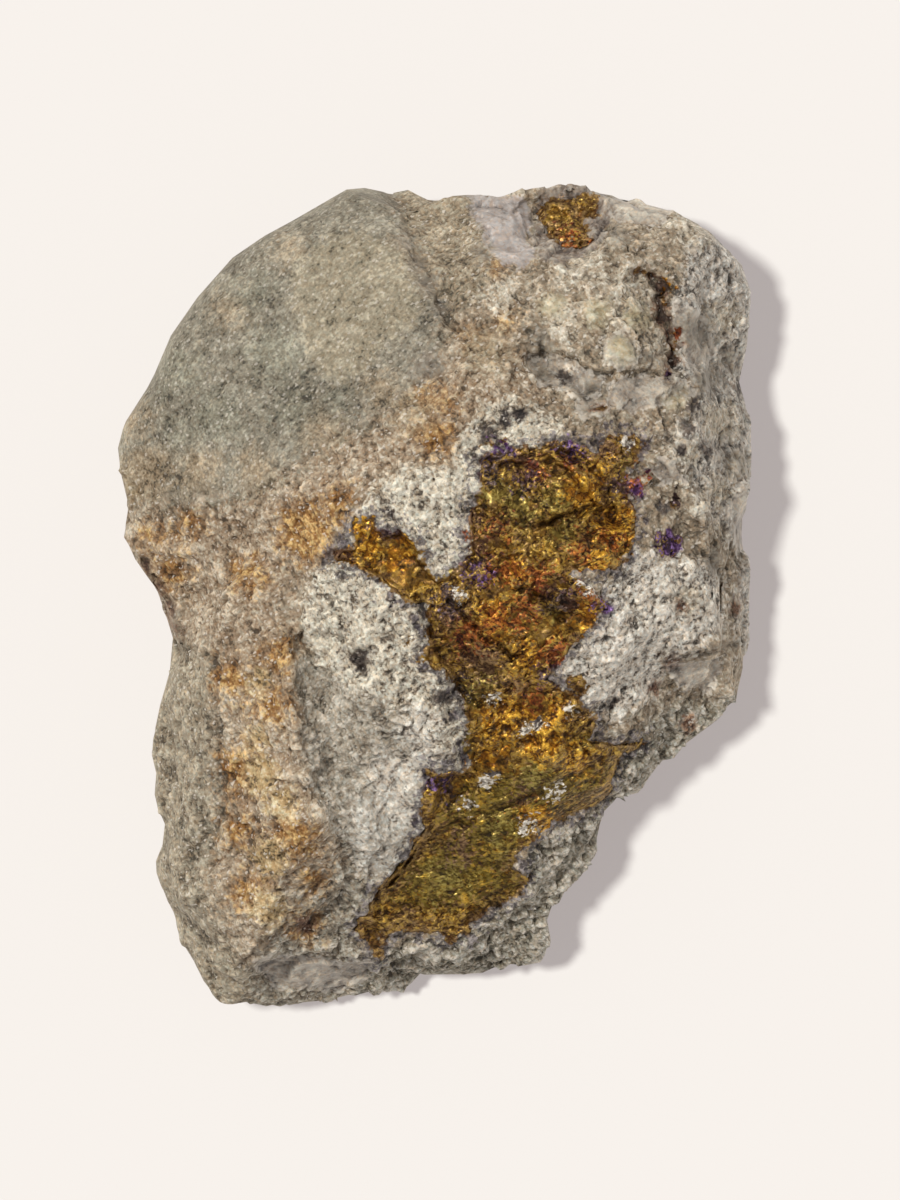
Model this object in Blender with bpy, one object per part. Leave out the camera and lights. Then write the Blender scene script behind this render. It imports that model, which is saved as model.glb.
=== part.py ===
"""A hand specimen of milky quartz with a seam of brassy copper ore, as one solid stone.

The stone is blocked out like a broken rock. Two blocks with the stone's outline are split along
flat fracture planes and joined. The joined block is given an even mesh, which is roughened and
carved with the ledges, grooves and hollows that show from a step away. Named sizes are in
millimetres, with x to the right and y away from the viewer who looks down on the stone, and z up
from the surface that it lies on. The mesh itself is in metres.
"""

import math
import random

import bmesh
import bpy
from mathutils import Euler, Vector, noise

MM = 0.001

# Driving sizes: the finished stone's box, and the blocks that it is split from
STONE_WIDTH = 70.2
STONE_LENGTH = 90.8
STONE_HEIGHT = 40.5
BLOCK_TOP = 42.0
MESH_CELL = 0.9
TRIANGLES = 8600

# Outline of the main mass seen from above, clockwise from the crest at the upper left
MAIN_OUTLINE = [
    (-11.5, 45.6), (-7.5, 45.2), (-4.5, 43.2), (2.5, 43.8), (10.5, 44.5), (15.5, 45.5),
    (18.0, 45.5), (21.5, 44.5), (27.3, 42.0), (29.7, 40.0), (32.0, 37.0), (33.8, 33.0),
    (34.4, 28.5), (34.0, 24.5), (34.2, 11.5), (34.6, 8.5), (33.8, 5.0), (35.0, 1.5),
    (35.0, -1.0), (34.6, -7.0), (33.4, -10.3), (27.5, -15.8), (25.5, -18.0), (23.0, -21.5),
    (20.0, -23.0), (18.5, -26.5), (15.8, -29.8), (12.5, -34.0), (12.8, -37.5), (11.2, -41.0),
    (7.0, -41.8), (1.5, -43.0), (-4.0, -43.4), (-9.5, -44.4), (-14.0, -40.0), (-20.0, -20.0),
    (-26.0, -8.0), (-29.0, -5.5), (-29.8, -2.5), (-32.4, 4.0), (-34.4, 11.0), (-36.2, 15.0),
    (-36.2, 17.5), (-34.6, 20.0), (-32.5, 26.5), (-30.5, 30.0), (-27.0, 34.0), (-21.3, 39.5),
    (-17.0, 43.2), (-14.3, 45.2),
]

# Outline of the stained rib that makes the lower left of the stone
RIB_OUTLINE = [
    (-18.0, 4.0), (-24.0, 1.0), (-28.8, -5.0), (-30.0, -9.5), (-31.2, -12.5), (-30.8, -18.0),
    (-31.2, -22.5), (-31.6, -28.0), (-29.2, -34.7), (-27.6, -40.8), (-24.2, -45.2),
    (-20.0, -46.0), (-15.0, -45.5), (-9.5, -44.4), (-3.0, -43.4), (0.0, -38.0),
    (0.0, -10.0), (-10.0, 2.0),
]

# Fracture planes. Each passes through (x, y, z), falls away towards the dip direction in degrees
# from +X, and slopes by the dip: 0 is level, 90 upright, and more than 90 is an overhang.
MAIN_PLANES = [
    # Upper faces
    ((-4.2, 29.2, 34.0), 130, 24),
    ((-30.0, 13.8, 27.0), 188, 36),
    ((-25.9, 35.0, 25.0), 135, 52),
    ((2.4, 41.9, 25.5), 88, 48),
    ((3.5, 32.5, 33.5), 85, 22),
    ((22.2, 35.8, 31.0), 62, 28),
    ((29.2, 40.3, 24.5), 50, 56),
    ((32.7, 21.5, 24.0), 2, 60),
    ((27.7, 21.5, 30.5), 10, 34),
    ((28.8, -0.5, 28.0), 350, 36),
    ((27.7, -11.5, 21.5), 318, 50),
    ((13.4, -21.4, 27.5), 295, 27),
    ((1.3, -33.5, 20.5), 282, 34),
    ((1.3, -40.0, 14.5), 276, 62),
    ((-0.9, 3.9, 38.5), 255, 6),
    ((-26.2, 3.9, 29.0), 205, 36),
    ((-7.5, -11.5, 34.8), 262, 15),
    # Sides
    ((-36.8, 16.0, 17.0), 184, 107),
    ((-33.8, 3.0, 18.0), 205, 108),
    ((-28.4, 34.6, 9.0), 136, 80),
    ((-16.5, 43.9, 14.0), 122, 118),
    ((-33.5, 24.0, 12.0), 158, 84),
    ((-13.6, 45.2, 16.0), 108, 84),
    ((15.0, 45.4, 14.0), 84, 112),
    ((22.3, 45.0, 10.0), 74, 82),
    ((33.4, 37.6, 15.0), 40, 100),
    ((34.8, 25.5, 17.0), 8, 108),
    ((35.0, 10.0, 15.0), 353, 80),
    ((35.6, -4.0, 12.0), 346, 112),
    ((30.5, -16.5, 14.0), 321, 104),
    ((13.2, -37.8, 8.0), 318, 78),
    ((5.0, -42.0, 9.0), 277, 100),
    # Underside, rising gently away from the face that the stone rests on, then steeply
    ((15.0, 0.0, 0.0), 5, 171),
    ((12.0, 15.0, 0.0), 50, 172),
    ((0.0, 22.0, 0.0), 95, 170),
    ((-15.0, 8.0, 0.0), 170, 172),
    ((9.0, -22.0, 0.0), 310, 171),
    ((-34.4, 16.0, 9.0), 186, 138),
    ((-31.0, 0.0, 9.0), 214, 134),
    ((-27.2, 33.7, 6.0), 134, 126),
    ((0.0, 42.0, 10.0), 94, 138),
    ((22.0, 44.4, 6.0), 70, 124),
    ((32.0, 36.0, 8.0), 38, 136),
    ((34.0, 16.0, 9.0), 4, 130),
    ((34.0, -2.0, 8.0), 346, 140),
    ((26.5, -14.0, 7.0), 320, 130),
    ((13.0, -33.0, 4.0), 316, 140),
    ((4.0, -42.0, 4.5), 275, 134),
]

RIB_PLANES = [
    # Upper faces
    ((-24.6, -20.3, 30.5), 182, 62),
    ((-16.8, -18.1, 35.0), 262, 8),
    ((-13.4, -18.0, 34.8), 5, 41),
    ((-19.5, -36.5, 25.5), 298, 44),
    ((-18.5, -42.0, 17.0), 288, 62),
    ((-25.0, -40.2, 18.5), 232, 46),
    ((-22.0, -3.0, 33.0), 195, 30),
    # Sides
    ((-31.4, -22.0, 13.0), 181, 82),
    ((-29.7, -35.4, 14.0), 206, 98),
    ((-18.0, -45.2, 9.0), 262, 98),
    # Underside
    ((-17.0, -14.0, 0.0), 190, 170),
    ((-8.0, -30.0, 0.0), 262, 171),
    ((-30.6, -20.0, 9.0), 178, 136),
    ((-27.0, -38.5, 7.0), 216, 132),
    ((-17.0, -45.0, 5.5), 260, 130),
]

# Broken ledges in the upper faces. Each is a line seen from above, the drop to the side on its
# right as it is followed, and how far that drop takes to run out.
LEDGES = [
    # From the rib down to the quartz beside it
    ([(-16.0, -2.0), (-15.0, -9.0), (-14.0, -18.0), (-10.8, -27.5), (-10.5, -31.0)], -1.6, 6.0),
    # Under the rib's oblique lower end
    ([(-10.3, -31.0), (-14.5, -35.5), (-21.5, -41.5)], -2.2, 7.0),
    # From the quartz down to the ore
    ([(1.5, -3.0), (2.0, -8.0), (0.5, -12.0), (3.0, -17.5), (0.0, -21.0), (-1.0, -26.0),
      (-4.5, -30.5), (-9.0, -32.5)], -1.8, 7.0),
    # Under the ore's lowest facet
    ([(11.5, -30.0), (8.5, -36.0), (1.0, -38.5), (-7.0, -38.0)], -1.2, 4.0),
    # Below the tan edge at the lower right
    ([(22.5, -7.5), (27.5, -7.0), (34.0, -5.0)], 1.5, 6.0),
    # The broken edge of the upper left face
    ([(-4.7, 43.0), (-3.0, 38.5), (-1.5, 34.5), (1.0, 31.0), (2.5, 27.0)], -1.6, 6.0),
]

# Grooves, as a line, a width and a depth, and the sharp crest to the right as one of minus depth
GROOVES = [
    ([(22.0, 35.5), (24.0, 32.5), (25.3, 29.0), (25.5, 24.5)], 2.2, 2.0),
    ([(12.5, 7.5), (17.8, 9.0), (22.5, 9.5)], 1.8, 1.2),
    ([(10.5, 26.5), (15.0, 23.0), (20.5, 22.5)], 3.0, 1.1),
    ([(5.5, 39.5), (8.5, 37.5), (11.5, 35.5)], 2.6, 1.0),
    ([(5.0, 18.0), (3.5, 13.0), (4.5, 8.0)], 2.6, 0.9),
    ([(24.0, 17.0), (29.0, 8.5), (33.5, 4.8)], 2.4, -1.4),
    ([(9.0, 20.0), (16.0, 18.0), (22.0, 16.5)], 3.0, -0.7),
]

# Hollows, as a centre, a radius and a depth
HOLLOWS = [
    ((14.2, 41.5), 4.2, 2.4),
    ((-8.4, -7.0), 1.6, 1.1),
    ((9.0, 39.5), 3.4, 1.0),
    ((29.0, 26.0), 3.6, 1.2),
    ((-29.5, -1.0), 5.0, 1.2),
]

# Small chips knocked off each block's corners: how many, how deep, and the seed that places them
CHIPS = 34
CHIP_LEAST = 0.3
CHIP_MOST = 1.6
CHIP_SEED = 11
CHIP_DIPS = (20, 35, 50, 62, 118, 130, 145)

# How far the carved lines wander from side to side, how often, how wide the edge of a ledge is, and
# over what share of its length a line runs out at each end
WANDER = 0.9
WANDER_RATE = 0.35
LEDGE_EDGE = 0.9
LINE_ENDS = 0.12

# Roughness: how wide and how deep the swells and the sets of broken facets are, the widest of
# which are only on the sides and the underside
SWELL_WIDTH = 16.0
SWELL_DEPTH = 0.3
SLAB_WIDTH = 15.0
SLAB_DEPTH = 3.2
BREAK_WIDTH = 8.5
BREAK_DEPTH = 1.7
GRAIN_WIDTH = 3.2
GRAIN_DEPTH = 0.55
SLAB_TURN = Euler((0.4, 1.0, 0.2)).to_matrix()
BREAK_TURN = Euler((0.5, 0.7, 0.3)).to_matrix()
GRAIN_TURN = Euler((1.1, 0.2, 0.8)).to_matrix()

# Smoother places: a line down the middle of each, how far it reaches, and its share of the
# roughness. They are the weathered upper left face, the rib and the two slickensided ore facets.
SMOOTH_PLACES = [
    ([(-9.0, 38.0), (-20.0, 30.0), (-25.0, 20.0), (-12.0, 18.0), (-7.0, 30.0)], 8.5, 0.35),
    ([(-26.0, 2.0), (-24.5, -12.0), (-24.0, -36.0)], 6.5, 0.5),
    ([(-4.0, -33.0), (6.0, -29.0)], 4.5, 0.35),
    ([(7.0, -23.5), (19.0, -17.5)], 3.0, 0.45),
]

# A face counts as an upper one from this upward part of its normal, and fully so this much on
UPWARD_FROM = 0.15
UPWARD_OVER = 0.45

# The stone rests on this round patch of true flat, and on what of its break reaches within this
# height of it, which is levelled with it
REST_RADIUS = 8.0
REST_LEVEL = 0.06


def plane_normal(dip_direction, dip):
    """The outward normal of a fracture plane."""
    toward, slope = math.radians(dip_direction), math.radians(dip)
    level = math.sin(slope)
    return Vector((math.cos(toward) * level, math.sin(toward) * level, math.cos(slope)))


def split(mesh, point, normal):
    """Splits the block along a plane, throws the outer piece away and closes the cut."""
    cut = bmesh.ops.bisect_plane(
        mesh,
        geom=mesh.verts[:] + mesh.edges[:] + mesh.faces[:],
        plane_co=point,
        plane_no=normal,
        clear_outer=True,
    )["geom_cut"]
    rim = [item for item in cut if isinstance(item, bmesh.types.BMEdge)]
    bmesh.ops.holes_fill(mesh, edges=rim, sides=0)


def split_block(name, outline, planes):
    """An upright block on an outline, split along each plane, with its corners chipped."""
    mesh = bmesh.new()
    foot = mesh.faces.new([mesh.verts.new((x * MM, y * MM, 0.0)) for x, y in outline])
    raised = bmesh.ops.extrude_face_region(mesh, geom=[foot])["geom"]
    top = [item for item in raised if isinstance(item, bmesh.types.BMVert)]
    bmesh.ops.translate(mesh, verts=top, vec=(0, 0, BLOCK_TOP * MM))
    for point, dip_direction, dip in planes:
        split(mesh, Vector(point) * MM, plane_normal(dip_direction, dip))
    chance = random.Random(CHIP_SEED)
    for _ in range(CHIPS):
        normal = plane_normal(chance.uniform(0, 360), chance.choice(CHIP_DIPS))
        corner = max((vertex.co for vertex in mesh.verts), key=normal.dot)
        depth = chance.uniform(CHIP_LEAST, CHIP_MOST) * MM
        split(mesh, corner - normal * depth, normal)
    bmesh.ops.recalc_face_normals(mesh, faces=mesh.faces[:])
    data = bpy.data.meshes.new(name)
    mesh.to_mesh(data)
    mesh.free()
    block = bpy.data.objects.new(name, data)
    bpy.context.scene.collection.objects.link(block)
    return block


def evaluated_mesh(thing, name):
    """A new mesh of the object as its modifiers make it."""
    bpy.context.view_layer.update()
    graph = bpy.context.evaluated_depsgraph_get()
    mesh = bpy.data.meshes.new_from_object(thing.evaluated_get(graph))
    mesh.name = name
    return mesh


def along_line(x, y, line):
    """Distance to a line seen from above, with its sign positive on the right, and how far along."""
    nearest = None
    travelled = 0.0
    for (ax, ay), (bx, by) in zip(line, line[1:]):
        dx, dy = bx - ax, by - ay
        length = math.hypot(dx, dy)
        share = ((x - ax) * dx + (y - ay) * dy) / length**2
        held = min(1.0, max(0.0, share))
        gap = math.hypot(x - ax - held * dx, y - ay - held * dy)
        side = dy * (x - ax) - dx * (y - ay)
        if nearest is None or gap < abs(nearest[0]):
            nearest = (math.copysign(gap, side), travelled + held * length)
        travelled += length
    return nearest[0], nearest[1] / travelled


def smooth(value):
    """Eases from 0 to 1 as the value goes from 0 to 1."""
    held = min(1.0, max(0.0, value))
    return held * held * (3.0 - 2.0 * held)


def ends_fade(share):
    """Falls to nothing at both ends of a line."""
    return smooth(min(share, 1.0 - share) / LINE_ENDS)


def carving(x, y):
    """How far the ledges, grooves and hollows lower the upper faces at a point."""
    wander = WANDER * noise.noise((x * WANDER_RATE, y * WANDER_RATE, 0.0))
    total = 0.0
    for line, drop, reach in LEDGES:
        gap, share = along_line(x, y, line)
        below = (gap + wander) * math.copysign(1.0, drop)
        step = smooth(below / LEDGE_EDGE + 0.5) * math.exp(-max(below, 0.0) / reach)
        total += abs(drop) * step * ends_fade(share)
    for line, width, depth in GROOVES:
        gap, share = along_line(x, y, line)
        total += depth * smooth(1.0 - abs(gap + wander / 2) / width) * ends_fade(share)
    for (cx, cy), radius, depth in HOLLOWS:
        out = math.hypot(x - cx, y - cy) / radius
        total += depth * smooth(1.5 - out)
    return total


def broken(point, width, turn):
    """Flat facets, from half at the middle of each lump to about minus half in the clefts."""
    distance = noise.voronoi(turn @ point / width, distance_metric="MANHATTAN")[0][0]
    return 0.5 - 0.8 * distance


def rough_share(x, y, facing_up):
    """The share of the full roughness that a place has."""
    rough = 1.0
    for line, reach, share in SMOOTH_PLACES:
        out = abs(along_line(x, y, line)[0]) / reach
        rough = min(rough, 1.0 - (1.0 - share) * facing_up * smooth(1.5 - out))
    return rough


def roughness(point, facing_up, share):
    """How far the stone's surface stands out from its fracture planes, in millimetres."""
    swell = noise.fractal(point / SWELL_WIDTH, 1.0, 2.0, 2) * SWELL_DEPTH
    slabs = broken(point, SLAB_WIDTH, SLAB_TURN) * SLAB_DEPTH
    facets = broken(point, BREAK_WIDTH, BREAK_TURN) * BREAK_DEPTH
    grains = broken(point, GRAIN_WIDTH, GRAIN_TURN) * GRAIN_DEPTH
    return swell + (1.0 - facing_up) * slabs + share * (facets + grains)


def weather(mesh):
    """Moves the vertices of the even mesh out to the stone's own surface."""
    normals = [vertex.normal.copy() for vertex in mesh.vertices]
    for vertex, normal in zip(mesh.vertices, normals):
        point = vertex.co / MM
        facing_up = smooth((normal.z - UPWARD_FROM) / UPWARD_OVER)
        share = rough_share(point.x, point.y, facing_up)
        point = point + normal * roughness(point, facing_up, share)
        point.z -= facing_up * carving(point.x, point.y)
        if normal.z < 0:
            point.z *= smooth(math.hypot(point.x, point.y) / REST_RADIUS - 1.0)
        point.z = max(point.z, 0.0)
        vertex.co = point * MM


def true_up(mesh):
    """Levels what the stone rests on, brings it to its size and centres it over the origin."""
    for vertex in mesh.vertices:
        if vertex.co.z < REST_LEVEL * MM:
            vertex.co.z = 0.0
    corners = list(zip(*[vertex.co for vertex in mesh.vertices]))
    low = Vector([min(values) for values in corners])
    high = Vector([max(values) for values in corners])
    origin = Vector(((low.x + high.x) / 2, (low.y + high.y) / 2, low.z))
    wanted = Vector((STONE_WIDTH, STONE_LENGTH, STONE_HEIGHT)) * MM
    scale = [size / (top - bottom) for size, bottom, top in zip(wanted, low, high)]
    for vertex in mesh.vertices:
        vertex.co = (vertex.co - origin) * Vector(scale)


def stone_material():
    """Grey-white quartz, dull on its broken faces."""
    material = bpy.data.materials.new("milky_quartz")
    material.use_nodes = True
    shader = material.node_tree.nodes["Principled BSDF"]
    shader.inputs["Base Color"].default_value = (0.42, 0.39, 0.33, 1.0)
    shader.inputs["Roughness"].default_value = 0.6
    shader.inputs["Metallic"].default_value = 0.0
    return material


def make_stone():
    """The whole specimen as one closed solid."""
    main = split_block("main_block", MAIN_OUTLINE, MAIN_PLANES)
    rib = split_block("rib_block", RIB_OUTLINE, RIB_PLANES)
    join = main.modifiers.new("join_rib", "BOOLEAN")
    join.operation = "UNION"
    join.object = rib
    even = main.modifiers.new("even_mesh", "REMESH")
    even.mode = "VOXEL"
    even.voxel_size = MESH_CELL * MM
    mesh = evaluated_mesh(main, "quartz_specimen")
    for block in (main, rib):
        bpy.data.objects.remove(block)

    weather(mesh)
    stone = bpy.data.objects.new("quartz_specimen", mesh)
    bpy.context.scene.collection.objects.link(stone)
    lighter = stone.modifiers.new("fewer_faces", "DECIMATE")
    lighter.ratio = TRIANGLES / (2 * len(mesh.polygons))
    final = evaluated_mesh(stone, "quartz_specimen")
    stone.modifiers.clear()
    stone.data = final
    true_up(final)
    final.materials.clear()
    final.materials.append(stone_material())
    return stone


def main():
    for thing in list(bpy.data.objects):
        bpy.data.objects.remove(thing)
    make_stone()


main()
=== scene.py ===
"""The looks of a hand specimen of milky quartz with a seam of brassy, tarnished copper ore.

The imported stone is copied, given a fine even mesh and broken up with relief that changes from zone
to zone: weathered host rock, stained and sugary quartz, glass-clear quartz and ore. The seam of ore
and the sugary quartz are finer meshes of their own. Sizes and places are in millimetres unless a
name says otherwise, seen from above with x to the right and y up the picture.
"""

import math

import bmesh
import bpy
import numpy as np
from mathutils import Euler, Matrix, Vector, noise
from mathutils.bvhtree import BVHTree


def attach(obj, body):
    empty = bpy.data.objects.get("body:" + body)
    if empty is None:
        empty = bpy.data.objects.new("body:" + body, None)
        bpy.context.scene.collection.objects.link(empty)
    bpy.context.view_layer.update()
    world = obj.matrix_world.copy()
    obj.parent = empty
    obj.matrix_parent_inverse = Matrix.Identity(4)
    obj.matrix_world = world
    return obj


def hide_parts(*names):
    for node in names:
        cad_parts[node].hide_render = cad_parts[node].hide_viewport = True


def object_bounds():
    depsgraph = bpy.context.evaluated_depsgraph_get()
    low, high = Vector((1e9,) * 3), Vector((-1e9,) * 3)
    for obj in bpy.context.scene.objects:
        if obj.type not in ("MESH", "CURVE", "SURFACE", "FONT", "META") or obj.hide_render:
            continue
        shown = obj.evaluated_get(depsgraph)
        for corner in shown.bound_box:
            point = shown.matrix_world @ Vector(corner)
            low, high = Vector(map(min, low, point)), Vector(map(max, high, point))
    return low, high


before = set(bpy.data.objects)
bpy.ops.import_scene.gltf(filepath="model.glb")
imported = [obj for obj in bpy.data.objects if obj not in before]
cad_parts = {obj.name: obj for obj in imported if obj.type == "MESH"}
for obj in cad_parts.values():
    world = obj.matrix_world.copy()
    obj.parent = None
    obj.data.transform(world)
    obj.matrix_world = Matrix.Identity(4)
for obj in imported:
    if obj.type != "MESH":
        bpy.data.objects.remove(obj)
cad_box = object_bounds()

MM = 0.001
NODE = "quartz_specimen"
BODY = "root"

# Fineness of the meshes: the even mesh's cell, and the most triangles that each piece keeps
STONE_CELL = 0.29
STONE_TRIANGLES = 194000
ORE_CELL = 0.19
ORE_TRIANGLES = 120000
SUGAR_CELL = 0.17
SUGAR_TRIANGLES = 130000
# Rounds of smoothing, more of them on the host rock, and how far inside it they all count
SOFTENING = 12
HOST_SOFTENING = 900
HOST_EDGE = 3.0

# Where the zones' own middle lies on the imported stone
ZONES_MIDDLE = (0.6, 0.2)

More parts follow.
